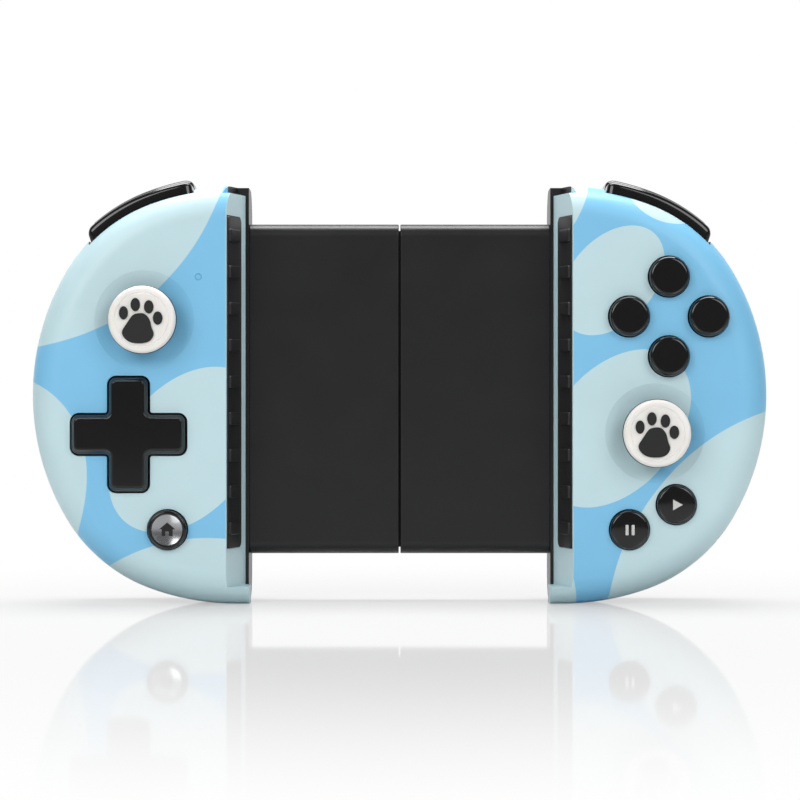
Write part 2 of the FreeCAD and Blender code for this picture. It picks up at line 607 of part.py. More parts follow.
# Rubber phone pad: a thin pad laid into its pocket on the leaning wall, with nine raised ribs.
pad_sheet = cut(
    "pad_sheet", common(
        "pad_body",
        slant("pad_outer", "pad_inlay", ("pad_low", "pad_high")),
        box("pad_body_box", ("-half_width", "0"), pad_pocket_depth, ("pad_low", "pad_high")),
    ),
    slant("pad_inner", "pad_inlay - pad_thick", ("pad_low - 1", "pad_high + 1")),
)
rib_count = int(size("(pad_high - pad_low) / rib_pitch"))
rib_depth = (f"{FACE} + pad_margin + rib_margin", f"{FACE} + pad_margin + pad_depth - rib_short")
rib_bars = []
for i in range(rib_count):
    middle = f"((pad_low + pad_high) / 2 + {i - (rib_count - 1) / 2} * rib_pitch)"
    span = (f"{middle} - rib_width / 2", f"{middle} + rib_width / 2")
    rib_bars.append(box(f"rib_{i}", ("-half_width", "0"), rib_depth, span))
rib_under = slant("rib_under", "pad_inlay - pad_thick + 0.1", ("0", "grip_height"))
rib_stock = common("rib_stock", fuse("rib_bars", *rib_bars), rib_under)
rib_space = slant("rib_space", "pad_inlay - pad_thick - rib_rise", ("-1", "grip_height + 1"))
ribs = cut("ribs", rib_stock, rib_space)
left_pad = node("left_phone_pad", fuse("left_pad", pad_sheet, ribs))
node("right_phone_pad", mirror("right_pad", left_pad))

# Rear shell with its bracket half: one moulding, from the grip's outer side to the middle of the bracket.
INNER_WALL = "(lip_reach + 0.5)"
SPLIT = f"({PARTING} + bracket_split)"
HOLLOW_BACK = f"({PARTING} + bracket_depth - bracket_wall)"
SLIDE_LOW = f"({MIDDLE} - slide_height / 2)"
SLIDE_HIGH = f"({MIDDLE} + slide_height / 2)"
TRIGGER_SPAN = (f"{PARTING} + key_gap", f"{PARTING} + key_gap + trigger_depth")
BUMPER_SPAN = (f"{FACE} + bumper_front", f"{PARTING} - key_gap")

rear_block = grip_block("rear_block", "0", INNER_WALL, (PARTING, BACK), "back_round", BACK)
rear_core = grip_block(
    "rear_core", "wall", f"{INNER_WALL} + wall", (f"{PARTING} - 1", f"{BACK} - wall"),
    "back_round - wall", f"{BACK} - wall",
)
arm_reach = (f"-({INNER_WALL} + 0.5)", "-bracket_gap")
arm_block = box("arm_block", arm_reach, (SPLIT, f"{PARTING} + bracket_depth"), ("bracket_low", "bracket_high"))
arm_rounded = round_edges(
    "arm_rounded", arm_block, "bracket_round",
    lambda edge: at(edge, "y", f"{PARTING} + bracket_depth") and not at(edge, "x", arm_reach[0])
    and not at(edge, "x", arm_reach[1]),
)
arm_hollow = box(
    "arm_hollow", (f"-({INNER_WALL} + 1)", "0"), (PARTING, HOLLOW_BACK),
    ("bracket_low + bracket_wall", "bracket_high - bracket_wall"),
)
rails = [
    box("rail_low", arm_reach, (SLIDE_FRONT, f"{HOLLOW_BACK} + 0.2"),
        (f"{SLIDE_LOW} - slide_play - 1.2", f"{SLIDE_LOW} - slide_play")),
    box("rail_high", arm_reach, (SLIDE_FRONT, f"{HOLLOW_BACK} + 0.2"),
        (f"{SLIDE_HIGH} + slide_play", f"{SLIDE_HIGH} + slide_play + 1.2")),
]
window = box(
    "window", (f"-({INNER_WALL} + wall + 1)", "-lip_reach + 0.5"), (f"{PARTING} + bracket_wall", HOLLOW_BACK),
    (f"{SLIDE_LOW} - slide_play", f"{SLIDE_HIGH} + slide_play"),
)
rear_cup = cut("rear_cup", rear_block, rear_core)
columns = [
    rod(f"rear_column_{i}", "boss_radius", f"-({x})", (BOARD_BACK, f"{BACK} - wall + 0.3"), z)
    for i, (x, z) in enumerate(SCREWS)
]
pin_seat_depth = (f"{BACK} - wall - 0.8", f"{BACK} - wall + 0.3")
pin_seat = rod("rear_pin_seat", "pin_radius + barrel_wall", "-pin_x", pin_seat_depth, PIN_Z)
column_space = grip_block("column_space", "wall / 2", f"{INNER_WALL} + wall / 2", (PARTING, BACK), "", BACK)
rear_columns = common("rear_columns", fuse("rear_posts", pin_seat, *columns), column_space)
rear_cuts = [
    rod(f"screw_way_{i}", "screw_radius + 0.2", f"-({x})", (PARTING, f"{BACK} + 1"), z)
    for i, (x, z) in enumerate(SCREWS)
]
rear_cuts += [
    rod(f"screw_sink_{i}", "screw_head + 0.2", f"-({x})", (f"{BACK} - screw_sink", f"{BACK} + 1"), z)
    for i, (x, z) in enumerate(SCREWS)
]
rear_cuts.append(rod("rear_pin_hole", "pin_radius", "-pin_x", (PARTING, f"{BACK} - wall + 0.6"), PIN_Z))
trigger_slot_depth = (f"{PARTING} - 1", f"{TRIGGER_SPAN[1]} + key_gap")
rear_cuts.append(key_block("trigger_slot", "4", "key_thick + 5.5", "key_gap", trigger_slot_depth))
arm = cut("arm", arm_rounded, arm_hollow)
rear_cup_open = cut("rear_windowed", rear_cup, window)
rear_left = cut("rear_left", fuse("rear_solid", rear_cup_open, arm, rear_columns, *rails), *rear_cuts)
node("left_rear_shell", rear_left)
PORT_X = "(half_width - port_in)"
port_opening = box(
    "port_opening", (f"{PORT_X} - port_width / 2 - port_play", f"{PORT_X} + port_width / 2 + port_play"),
    (f"{BOARD_BACK} - port_play", f"{BOARD_BACK} + port_height + port_play"), ("-1", "port_low + 5.1"),
)
node("right_rear_shell", cut("rear_right", mirror("rear_right_blank", rear_left), port_opening))

# Bracket covers: shallow trays that close the bracket's front and carry the phone's back.
cover_reach = (f"-({INNER_WALL})", "-bracket_gap")
cover_block = box("cover_block", cover_reach, (PARTING, SPLIT), ("bracket_low", "bracket_high"))
cover_rounded = round_edges(
    "cover_rounded", cover_block, "bracket_round",
    lambda edge: at(edge, "y", PARTING) and not at(edge, "x", cover_reach[0])
    and not at(edge, "x", cover_reach[1]),
)
cover_hollow = box(
    "cover_hollow", (f"-({INNER_WALL} + 1)", "0"), (f"{PARTING} + bracket_wall", f"{SPLIT} + 1"),
    ("bracket_low + bracket_wall", "bracket_high - bracket_wall"),
)
cover = node("left_bracket_front", cut("cover", cover_rounded, cover_hollow))
node("right_bracket_front", mirror("cover_right", cover))

# Inner slide: a channel and its lid, which both bracket halves run on.
CHANNEL = (f"({SLIDE_FRONT} + slide_plate)", f"({SLIDE_BACK} - slide_plate)")
SPRING_Y = f"({PARTING} + bracket_depth / 2)"
GEAR = (f"({SPRING_Y} - rack_thick / 2)", f"({SPRING_Y} + rack_thick / 2)")
RACK_BACK = "(pinion_pitch + rack_width)"
SPRING_Z = f"({RACK_BACK} + 4.5)"
reach = ("-slide_reach", "slide_reach")
lid = box("slide_lid", reach, (SLIDE_FRONT, CHANNEL[0]), (SLIDE_LOW, SLIDE_HIGH))
node("centre_slide_front", lid)
slide_parts = [
    box("slide_floor", reach, (CHANNEL[1], SLIDE_BACK), (SLIDE_LOW, SLIDE_HIGH)),
    box("slide_edge_low", reach, (CHANNEL[0], SLIDE_BACK), (SLIDE_LOW, f"{SLIDE_LOW} + 2")),
    box("slide_edge_high", reach, (CHANNEL[0], SLIDE_BACK), (f"{SLIDE_HIGH} - 2", SLIDE_HIGH)),
    rod("slide_post", "post_radius", "0", (CHANNEL[0], SLIDE_BACK), MIDDLE),
    box("left_rack_guide", ("-20", "slide_reach"), (CHANNEL[0], SLIDE_BACK),
        (f"{MIDDLE} + {RACK_BACK} + 0.3", f"{MIDDLE} + {RACK_BACK} + 1.5")),
    box("right_rack_guide", ("-slide_reach", "20"), (CHANNEL[0], SLIDE_BACK),
        (f"{MIDDLE} - {RACK_BACK} - 1.5", f"{MIDDLE} - {RACK_BACK} - 0.3")),
    box("left_spring_stop", ("-5", "-3.5"), (CHANNEL[0], SLIDE_BACK),
        (f"{MIDDLE} + {RACK_BACK} + 1", f"{MIDDLE} + {SPRING_Z} + 2")),
    box("right_spring_stop", ("3.5", "5"), (CHANNEL[0], SLIDE_BACK),
        (f"{MIDDLE} - {SPRING_Z} - 2", f"{MIDDLE} - {RACK_BACK} - 1")),
]
node("centre_slide_rear", fuse("slide_channel", *slide_parts))


def solid(name, shape):
    """A piece whose form only a formula gives."""
    item = doc.addObject("Part::Feature", name)
    item.Shape = shape
    return item


def toothed_pinion():
    """Pinion with involute teeth, thinned a little so that it never binds in the racks."""
    pitch = size("pinion_pitch")
    count = int(size("pinion_teeth"))
    module = 2 * pitch / count
    pressure = math.radians(20)
    base = pitch * math.cos(pressure)
    tip = pitch + 0.85 * module
    root = pitch - 0.85 * module
    half_tooth = math.pi / (2 * count) - 0.1 * module / pitch

    def lean(radius):
        """Half the tooth's angle at a radius."""
        if radius <= base:
            return half_tooth + math.tan(pressure) - pressure
        turn = math.acos(base / radius)
        return half_tooth + math.tan(pressure) - pressure - math.tan(turn) + turn

    radii = [root, base] + [base + (tip - base) * step / 3 for step in (1, 2, 3)]
    points = []
    for tooth in range(count):
        middle = math.pi / 2 + 2 * math.pi * tooth / count
        flank = [(radius, middle - lean(radius)) for radius in radii]
        flank += [(radius, middle + lean(radius)) for radius in reversed(radii)]
        points += [FreeCAD.Vector(r * math.cos(turn), 0, r * math.sin(turn)) for r, turn in flank]
    outline = Part.Face(Part.makePolygon(points + points[:1]))
    disc = outline.extrude(FreeCAD.Vector(0, size("rack_thick"), 0))
    backward = FreeCAD.Vector(0, 1, 0)
    bore = Part.makeCylinder(size("post_radius + running_gap"), size("rack_thick") + 2, -backward, backward)
    return disc.cut(bore)


def toothed_bar(start, end):
    """Rack with straight-sided teeth below its bar, a gap between two teeth at X = 0."""
    pitch = 2 * math.pi * size("pinion_pitch") / size("pinion_teeth")
    module = pitch / math.pi
    rise = 0.55 * module
    sink = 1.1 * module
    slope = math.tan(math.radians(20))
    half = pitch / 4 - 0.1 * module
    low = -rise
    high = sink
    bar_start = size(start)
    bar_end = size(end)
    points = [(bar_start, high)]
    tooth = -2.5
    while (tooth + 0.5) * pitch < bar_end:
        middle = tooth * pitch
        points += [(middle - half - slope * high, high), (middle - half + slope * rise, low)]
        points += [(middle + half - slope * rise, low), (middle + half + slope * high, high)]
        tooth += 1
    points += [(bar_end, high), (bar_end, size("rack_width")), (bar_start, size("rack_width"))]
    corners = [FreeCAD.Vector(x, 0, z) for x, z in points]
    outline = Part.Face(Part.makePolygon(corners + corners[:1]))
    return outline.extrude(FreeCAD.Vector(0, size("rack_thick"), 0))


# Sync pinion and racks: what one grip pulls out, the other follows.
pinion = place(solid("pinion", toothed_pinion()), "0", GEAR[0], MIDDLE)
node("sync_pinion", pinion)
RACK_ROOT = "(slide_reach + 2)"
rack_form = toothed_bar(f"-{RACK_ROOT}", "travel + 2.5")
rack_bar = place(solid("rack_bar", rack_form), "0", GEAR[0], f"{MIDDLE} + pinion_pitch")
rack_foot = box(
    "rack_foot", (f"-({RACK_ROOT} + 4)", f"-{RACK_ROOT}"), (GEAR[0], f"{BACK} - wall"),
    (f"{MIDDLE} + pinion_pitch + 1", f"{MIDDLE} + {RACK_BACK} + 4"),
)
SPRING_LUG = ("-(travel + 2)", "-travel")
rack_lug = box("rack_lug", SPRING_LUG, GEAR, (f"{MIDDLE} + {RACK_BACK} - 1", f"{MIDDLE} + {SPRING_Z} + 1.5"))
left_rack = node("left_rack", fuse("rack", rack_bar, rack_foot, rack_lug))
turned_rack = doc.addObject("Part::Mirroring", "rack_turned")
turned_rack.Source = mirror("rack_flipped", left_rack)
turned_rack.Normal = FreeCAD.Vector(0, 0, 1)
bind(turned_rack, Base__z=MIDDLE)
node("right_rack", turned_rack)


def arc_pair(start, start_way, end, end_way):
    """Two arcs that leave one point and reach another along given directions."""
    span = end - start
    ways = start_way + end_way
    steep = 2 * (1 - start_way.dot(end_way))
    slide = -span.dot(ways)
    reach = (slide + math.sqrt(slide * slide + steep * span.dot(span))) / steep
    joint = (start + start_way * reach + end - end_way * reach) * 0.5
    arcs = []
    for first, last, way in ((start, joint, start_way), (joint, end, None)):
        apex = first + way * reach if way else last - end_way * reach
        chord_middle = (first + last) * 0.5
        half_chord = (last - first).Length / 2
        rise = apex - chord_middle
        bend = math.atan2(rise.Length, half_chord)
        top = chord_middle + rise.normalize() * half_chord * math.tan(bend / 2)
        arcs.append(Part.Arc(first, top, last).toShape())
    return arcs


def coil(length, radius, wire, pitch):
    """A spring of round wire along +X: one unbroken tube."""
    quarters = 4 * int((length - wire) / pitch)
    advance = (length - wire) / quarters

    def spot(step):
        turn = step * math.pi / 2
        return FreeCAD.Vector(wire / 2 + advance * step, radius * math.cos(turn), radius * math.sin(turn))

    def way(step):
        turn = step * math.pi / 2
        along = 2 * advance / math.pi
        return FreeCAD.Vector(along, -radius * math.sin(turn), radius * math.cos(turn)).normalize()

    edges = []
    for step in range(quarters):
        edges += arc_pair(spot(step), way(step), spot(step + 1), way(step + 1))
    path = Part.Wire(edges)
    section = Part.Wire(Part.makeCircle(wire / 2, spot(0), way(0)))
    tube = path.makePipeShell([section], True, False)
    print("spring: gap between turns", round(4 * advance - wire, 2), "mm, volume over section times length",
          round(tube.Volume / (math.pi * wire * wire / 4 * path.Length), 4))
    return tube


# Return springs: each pulls its rack, and so its grip, back towards the middle.
SPRING_LENGTH = "(travel - 5 - 0.6)"
spring_form = coil(size(SPRING_LENGTH), size("spring_radius"), size("spring_wire"), size("spring_pitch"))
left_spring = place(solid("spring_left", spring_form), "-travel + 0.3", SPRING_Y, f"{MIDDLE} + {SPRING_Z}")
node("left_spring", left_spring)
right_spring = place(solid("spring_right", spring_form), "5.3", SPRING_Y, f"{MIDDLE} - {SPRING_Z}")
node("right_spring", right_spring)

# Circuit board: it follows the grip's outline behind the shell's posts, cut away below the shoulder keys.
board_outline = grip_block("board_outline", "board_inset", "cradle_front + 1", (PARTING, BOARD_BACK), "", BACK)
board_steps = [
    box(f"board_step_{i}", (outer, "-cradle_front"), (PARTING, BOARD_BACK), ("board_foot", top))
    for i, (outer, top) in enumerate((
        ("-half_width", "grip_height - 20.5"), ("-pin_x - 12", "grip_height - 13.2"),
        ("-pin_x - 6", "grip_height - 9.5"),
    ))
]
board_space = fuse("board_space", *board_steps)
board_holes = [
    rod(f"board_hole_{i}", "screw_radius + 0.3", f"-({x})", (f"{PARTING} - 1", f"{BOARD_BACK} + 1"), z)
    for i, (x, z) in enumerate(SCREWS)
]
board = cut("board", common("board_blank", board_outline, board_space), *board_holes)
node("left_main_board", board)
node("right_main_board", mirror("board_right", board))

# Screws from the back, through the board, into the front shell's posts.
screws = []
for i, (x, z) in enumerate(SCREWS):
    shank_span = (f"{PARTING} - screw_bite", f"{BACK} - screw_sink + 0.4")
    shank = rod(f"screw_shank_{i}", "screw_radius", f"-({x})", shank_span, z)
    head_span = (f"{BACK} - screw_sink", f"{BACK} - screw_sink + 1.4")
    head = rod(f"screw_head_{i}", "screw_head", f"-({x})", head_span, z)
    socket = rod(f"screw_socket_{i}", "screw_socket", f"-({x})", (f"{BACK} - screw_sink + 0.7", BACK), z)
    screws.append(cut(f"screw_{i}", fuse(f"screw_solid_{i}", shank, head), socket))
screw_group = node("left_screws", group("screws", *screws))
node("right_screws", mirror("screws_right", screw_group))

# Battery cell, lying on the back wall below the left rack.
battery = box(
    "cell", ("-half_width + battery_in", "-slide_reach - battery_gap"),
    (f"{BACK} - wall - battery_thick", f"{BACK} - wall"),
    ("grip_height / 2 - battery_down", "grip_height / 2 + battery_up"),
)
node("battery", battery)

# Charging port behind its opening in the right grip's base.
port_body = box(
    "port_body", (f"{PORT_X} - port_width / 2", f"{PORT_X} + port_width / 2"),
    (BOARD_BACK, f"{BOARD_BACK} + port_height"), ("port_low", "port_low + port_length"),
)
port_mouth = box(
    "port_mouth", (f"{PORT_X} - port_width / 2 + port_wall", f"{PORT_X} + port_width / 2 - port_wall"),
    (f"{BOARD_BACK} + port_wall", f"{BOARD_BACK} + port_height - port_wall"),
    ("port_low - 1", "port_low + port_length - 1"),
)
port_tongue = box(
    "port_tongue", (f"{PORT_X} - port_width / 2 + 1.2", f"{PORT_X} + port_width / 2 - 1.2"),
    (f"{BOARD_BACK} + port_height / 2 - port_wall", f"{BOARD_BACK} + port_height / 2 + port_wall"),
    ("port_low + 0.7", "port_low + port_length - 0.6"),
)
node("charging_port", fuse("port", cut("port_shell", port_body, port_mouth), port_tongue))

# Shoulder keys: a bumper in front and a trigger behind, on one steel pin.
PIN_SPAN = (f"{INSIDE} + 0.2", f"{BACK} - wall + 0.5")
pin = node("left_trigger_pin", rod("pin", "pin_radius", "-pin_x", PIN_SPAN, PIN_Z))
node("right_trigger_pin", mirror("pin_right", pin))


def shoulder_key(name, rise, y):
    """A stretch of the grip's edge with a barrel round the pin."""
    blade = key_block(name + "_blade", rise, "key_thick", "0", y)
    barrel = rod(name + "_barrel", "pin_radius + barrel_wall", "-pin_x", y, PIN_Z)
    bore = rod(name + "_bore", "pin_radius + running_gap", "-pin_x", (f"{y[0]} - 1", f"{y[1]} + 1"), PIN_Z)
    return cut(name, fuse(name + "_solid", blade, barrel), bore)


bumper = node("left_bumper", shoulder_key("bumper", "bumper_rise", BUMPER_SPAN))
node("right_bumper", mirror("bumper_right", bumper))
trigger = node("left_trigger", shoulder_key("trigger", "trigger_rise", TRIGGER_SPAN))
node("right_trigger", mirror("trigger_right", trigger))

# Switches below the shoulder keys, one on either side of the board.
switches = []
for label, y in (
    ("front", (f"{PARTING} - switch_depth", PARTING)),
    ("back", (BOARD_BACK, f"{BOARD_BACK} + switch_depth")),
):
    x = (f"-pin_x - {label}_switch_out", f"-pin_x - {label}_switch_out + switch_width")
    top = f"grip_height - {label}_switch_drop"
    base = box(f"switch_{label}", x, y, (f"{top} - plunger_rise - switch_height", f"{top} - plunger_rise"))
    plunger = rod(
        f"plunger_{label}", "0.9", f"{x[0]} + switch_width / 2", f"{y[0]} + switch_depth / 2",
        (f"{top} - plunger_rise - 0.2", top), "z",
    )
    switches.append(fuse(f"switch_solid_{label}", base, plunger))
switch_group = node("left_shoulder_switches", group("switches", *switches))
node("right_shoulder_switches", mirror("switches_right", switch_group))


# Thumb sticks: a housing on the board, a yoke that tips up and down in it, a block that tips sideways
# in the yoke, and the shaft with its head and cap, which slides in the block when it is pressed.
PIVOT = f"({FACE} + stick_pivot_depth)"
HEAD_FRONT = f"({FACE} - cap_stand + cap_thick)"
CAP_FACE = f"({FACE} - cap_stand)"
# The paw on a cap, from its middle: the pad's outline, and each toe's middle and half its width.
PAD_OUTLINE = [
    (-0.5, 1.4), (1.3, 0.8), (2.1, -0.7), (2.35, -1.9), (2.8, -3.1), (2.2, -4.7),
    (-0.5, -5.5), (-3.3, -4.8), (-4.4, -2.9), (-3.7, -1.5), (-2.9, -0.3), (-2.0, 0.9),
]
TOES = [(-4.06, 1.46, 1.02), (-1.36, 3.35, 1.08), (1.72, 2.84, 1.08), (3.75, 0.27, 1.1)]
TOE_LENGTH = 3.04


def paw_relief():
    """Four toes and a pad, standing a little above the cap."""
    rise = size("paw_rise")
    up = FreeCAD.Vector(0, -rise, 0)
    curve = Part.BSplineCurve()
    curve.interpolate([FreeCAD.Vector(x, 0, z) for x, z in PAD_OUTLINE], PeriodicFlag=True)
    shapes = [Part.Face(Part.Wire(curve.toShape())).extrude(up)]
    for x, z, narrow in TOES:
        middle = FreeCAD.Vector(x, 0, z)
        tip = middle + FreeCAD.Vector(0, 0, TOE_LENGTH / 2)
        ellipse = Part.Ellipse(tip, middle + FreeCAD.Vector(narrow, 0, 0), middle)
        shapes.append(Part.Face(Part.Wire(ellipse.toShape())).extrude(up))
    return Part.makeCompound(shapes)


for side, z in STICKS.items():
    x = f"{SIDES[side]}stick_reach"
    outward = -1 if side == "left" else 1

    def across(near, far):
        return (f"{x} + {near}", f"{x} + {far}")

    def upright(near, far):
        return (f"{z} + {near}", f"{z} + {far}")

    def about(spot, half):
        return (f"{spot} - {half}", f"{spot} + {half}")

    sensor_depth = (f"{PIVOT} - 2", PARTING)
    housing_depth = (f"{PIVOT} - module_front", PARTING)
    housing = box(side + "_housing", about(x, "module_half"), housing_depth, about(z, "module_half"))
    well = box(side + "_well", about(x, "well_across"), about(PIVOT, "3.1"), about(z, "well_upright"))
    sensor_x = f"({x} + {outward} * (module_half + sensor_thick / 2))"
    sensor_width = about(sensor_x, "sensor_thick / 2")
    side_sensor = box(side + "_side_sensor", sensor_width, sensor_depth, about(z, "sensor_half"))
    low_sensor = box(
        side + "_low_sensor", about(x, "sensor_half"), sensor_depth,
        upright("-(module_half + sensor_thick)", "-module_half"),
    )
    bearing_span = about(x, "(module_half + 0.1)")
    bearing = rod(side + "_bearing", "trunnion_radius + running_gap", bearing_span, PIVOT, z, "x")
    housing_open = cut(side + "_housing_open", housing, well, bearing)
    node(side + "_stick_module", fuse(side + "_module", housing_open, side_sensor, low_sensor))

    yoke_span = about(PIVOT, "yoke_depth")
    ring = box(side + "_ring", about(x, "yoke_across"), yoke_span, about(z, "yoke_upright"))
    opening = box(
        side + "_ring_opening", about(x, "(yoke_across - yoke_bar)"), about(PIVOT, "(yoke_depth + 1)"),
        about(z, "(yoke_upright - yoke_bar)"),
    )
    trunnions = [
        rod(f"{side}_trunnion_{i}", "trunnion_radius", span, PIVOT, z, "x")
        for i, span in enumerate((
            across("-(module_half - 0.1)", "-(yoke_across - 0.2)"),
            across("(yoke_across - 0.2)", "(module_half - 0.1)"),
        ))
    ]
    eye = rod(side + "_ring_eye", "gudgeon_radius + running_gap", x, PIVOT, about(z, "(yoke_upright + 1)"), "z")
    ring_solid = fuse(side + "_ring_solid", cut(side + "_frame", ring, opening), *trunnions)
    node(side + "_stick_yoke", cut(side + "_yoke", ring_solid, eye))

    block = box(side + "_block", about(x, "block_across"), yoke_span, about(z, "block_upright"))
    gudgeon = rod(side + "_gudgeon", "gudgeon_radius", x, PIVOT, about(z, "(yoke_upright - 0.2)"), "z")
    guide = rod(side + "_guide", "shaft_radius + running_gap", x, about(PIVOT, "(yoke_depth + 1)"), z)
    node(side + "_stick_pivot", cut(side + "_pivot", fuse(side + "_pivot_solid", block, gudgeon), guide))

    shaft = rod(side + "_shaft", "shaft_radius", x, (f"{PIVOT} - 3", f"{PIVOT} + 1.9"), z)
    neck = rod(side + "_neck", "neck_radius", x, (HEAD_FRONT, f"{PIVOT} - 2.2"), z)
    head_span = (HEAD_FRONT, f"{HEAD_FRONT} + head_thick")
    head = cone(side + "_head", "cap_radius", "cap_radius - 1.15", x, head_span, z)
    node(side + "_stick_shaft", fuse(side + "_shaft_solid", shaft, neck, head))

    rim = rod(side + "_cap_rim", "cap_radius", x, (f"{CAP_FACE} + 0.5", HEAD_FRONT), z)
    crest = cone(side + "_cap_crest", "cap_radius - 1.3", "cap_radius", x, (CAP_FACE, f"{CAP_FACE} + 0.5"), z)
    groove = cut(
        side + "_cap_groove",
        rod(side + "_groove_outer", "cap_radius - 1.5", x, (f"{CAP_FACE} - 1", f"{CAP_FACE} + 0.15"), z),
        rod(side + "_groove_inner", "cap_radius - 1.7", x, (f"{CAP_FACE} - 2", f"{CAP_FACE} + 1"), z),
    )
    node(side + "_stick_cap", cut(side + "_cap", fuse(side + "_cap_solid", rim, crest), groove))
    node(side + "_stick_paw", place(solid(side + "_paw", paw_relief()), x, CAP_FACE, z))

# Direction pad: a cross on a small spider, whose two pins let it rock both ways.
SPIDER = f"({INSIDE} + rocker_depth)"
DOME_BASE = f"({PARTING} - dome_thick)"
pad_x = "(-dpad_x)"


def beside(near, far):
    return (f"{pad_x} + {near}", f"{pad_x} + {far}")


def above(near, far):
    return (f"dpad_z + {near}", f"dpad_z + {far}")


cross = fuse("dpad_cross", *dpad_cross("dpad", "0", "dpad_rise", f"{INSIDE} + 2.9"))
cross_tips = round_edges("dpad_tips", cross, "dpad_corner", tip_corner)
cross_soft = round_edges("dpad_corners", cross_tips, "dpad_inner", inner_corner)
cross_round = round_edges(
    "dpad_rounded", cross_soft, "dpad_bevel", lambda edge: at(edge, "y", f"{FACE} - dpad_rise")
)
skirt = dpad_cross("dpad_skirt", "1.1", "-(wall + 1.5)", f"{INSIDE} + 2.9")
rocker_room = box("dpad_room", beside(-5.4, 5.4), (f"{SPIDER} - 2.2", PARTING), above(-2.7, 2.7))
rocker_bore = rod("dpad_bore", "rocker_radius + running_gap", pad_x, SPIDER, above(-4.4, 4.4), "z")
dpad = cut("dpad_body", fuse("dpad_solid", cross_round, *skirt), rocker_room, rocker_bore)
node("dpad", dpad)
spider = fuse(
    "spider",
    rod("spider_across", "rocker_radius", beside(-4.6, 4.6), SPIDER, "dpad_z", "x"),
    rod("spider_upright", "rocker_radius", pad_x, SPIDER, above(-4.2, 4.2), "z"),
)
node("dpad_spider", spider)
frame_base = box("dpad_base", beside(-5.2, 5.2), (f"{PARTING} - 1.4", PARTING), above(-2.6, 2.6))
lugs = [
    box("dpad_lug_1", beside(-4.8, -3.4), (f"{SPIDER} - 1.35", f"{PARTING} - 1"), above(-1.6, 1.6)),
    box("dpad_lug_2", beside(3.4, 4.8), (f"{SPIDER} - 1.35", f"{PARTING} - 1"), above(-1.6, 1.6)),
]
lug_bore = rod("dpad_lug_bore", "rocker_radius + running_gap", beside(-5, 5), SPIDER, "dpad_z", "x")
node("dpad_frame", cut("dpad_stand", fuse("dpad_stand_solid", frame_base, *lugs), lug_bore))


def dome(name, x, z, top):
    """A rubber dome on its round foot."""
    sheet_disc = rod(name + "_foot", "dome_foot", x, (DOME_BASE, PARTING), z)
    return [sheet_disc, cone(name + "_dome", "dome_foot - 2.4", "dome_foot - 1.2", x, (top, DOME_BASE), z)]


def web(name, x, z):
    """A strip of the rubber sheet between domes."""
    return box(name, x, (DOME_BASE, PARTING), z)


DOME_TOP = f"({DOME_BASE} - dome_rise)"
STEM_END = f"({DOME_TOP} - button_travel - 0.3)"
left_domes = []
for i, (x, z) in enumerate(((9, 0), (-9, 0), (0, 9), (0, -9))):
    left_domes += dome(f"dpad_dome_{i}", f"{pad_x} + {x}", f"dpad_z + {z}", f"{INSIDE} + 4.1")
left_domes += dome("home_dome", "-home_x", "select_z", DOME_TOP)
left_domes += [
    web("dpad_web", beside(-9, 9), above(-4.5, 4.5)),
    web("dpad_web_upright", beside(-4, 4), above(-9, 9)),
    web("home_web", ("-home_x - web_half", "-home_x + web_half"), ("select_z", "dpad_z - 3")),
    web("home_web_across", beside(0, 9), above(-11, -7)),
]
web_hole = box("web_hole", beside(-5.5, 5.5), (f"{DOME_BASE} - 1", f"{PARTING} + 1"), above(-2.9, 2.9))
node("dpad_membrane", cut("dpad_sheet", fuse("dpad_domes", *left_domes), web_hole))

right_domes = []
for name, (x, z, radius, rise) in BUTTONS.items():
    if name != "home_button":
        right_domes += dome(name + "_rubber", x, z, DOME_TOP)
button_span = ("button_x - button_step", "button_x + button_step")
button_stack = ("button_z - button_step", "button_z + button_step")
beside_stick = "select_x - 6.6"
right_domes += [
    web("buttons_web_across", button_span, ("button_z - web_half", "button_z + web_half")),
    web("buttons_web_upright", ("button_x - web_half", "button_x + web_half"), button_stack),
    web("stick_web", (beside_stick, f"{beside_stick} + 3"), ("select_z", "button_z")),
    web("select_web", (beside_stick, "start_x"), ("select_z - 1.5", "select_z + 1.5")),
    web("start_web", ("start_x - web_half", "start_x + web_half"), ("select_z", "start_z")),
    web("buttons_link", (beside_stick, "button_x"), ("button_z - 1.5", "button_z + 1.5")),
]
node("button_membrane", fuse("button_domes", *right_domes))

# Round buttons: a cap above the face, a flange that stops below the face, and a stem over its dome.
for name, (x, z, radius, rise) in BUTTONS.items():
    crown_end = f"{FACE} - {rise} + 0.9"
    top = cone(name + "_top", f"{radius} - 0.8", radius, x, (f"{FACE} - {rise}", crown_end), z)
    neck = rod(name + "_neck", radius, x, (crown_end, f"{INSIDE} + 0.8"), z)
    flange = rod(name + "_flange", f"{radius} + flange", x, (f"{INSIDE} + 0.5", f"{INSIDE} + 1.4"), z)
    stem = rod(name + "_stem", "2", x, (f"{INSIDE} + 1", STEM_END), z)
    pieces = [top, neck, flange, stem]
    if name == "home_button":
        bowl_depth = (f"{FACE} - {rise} - 1", f"{FACE} - {rise} + 0.35")
        bowl = rod(name + "_bowl", f"{radius} - 1.1", x, bowl_depth, z)
        node(name, cut(name + "_body", fuse(name + "_solid", *pieces), bowl))
    else:
        node(name, fuse(name + "_body", *pieces))

doc.recompute()
for item in doc.Objects:
    if "Invalid" in item.State or "Error" in item.State:
        raise RuntimeError(f"{item.Name} could not be built")
os.makedirs("parts", exist_ok=True)
for name, item in nodes.items():
    if item.Shape.isNull() or not item.Shape.isValid():
        raise RuntimeError(f"{name} has no valid shape")
    item.Shape.exportStep(f"parts/{name}.step")
print(len(nodes), "pieces written")
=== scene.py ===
import json
import math

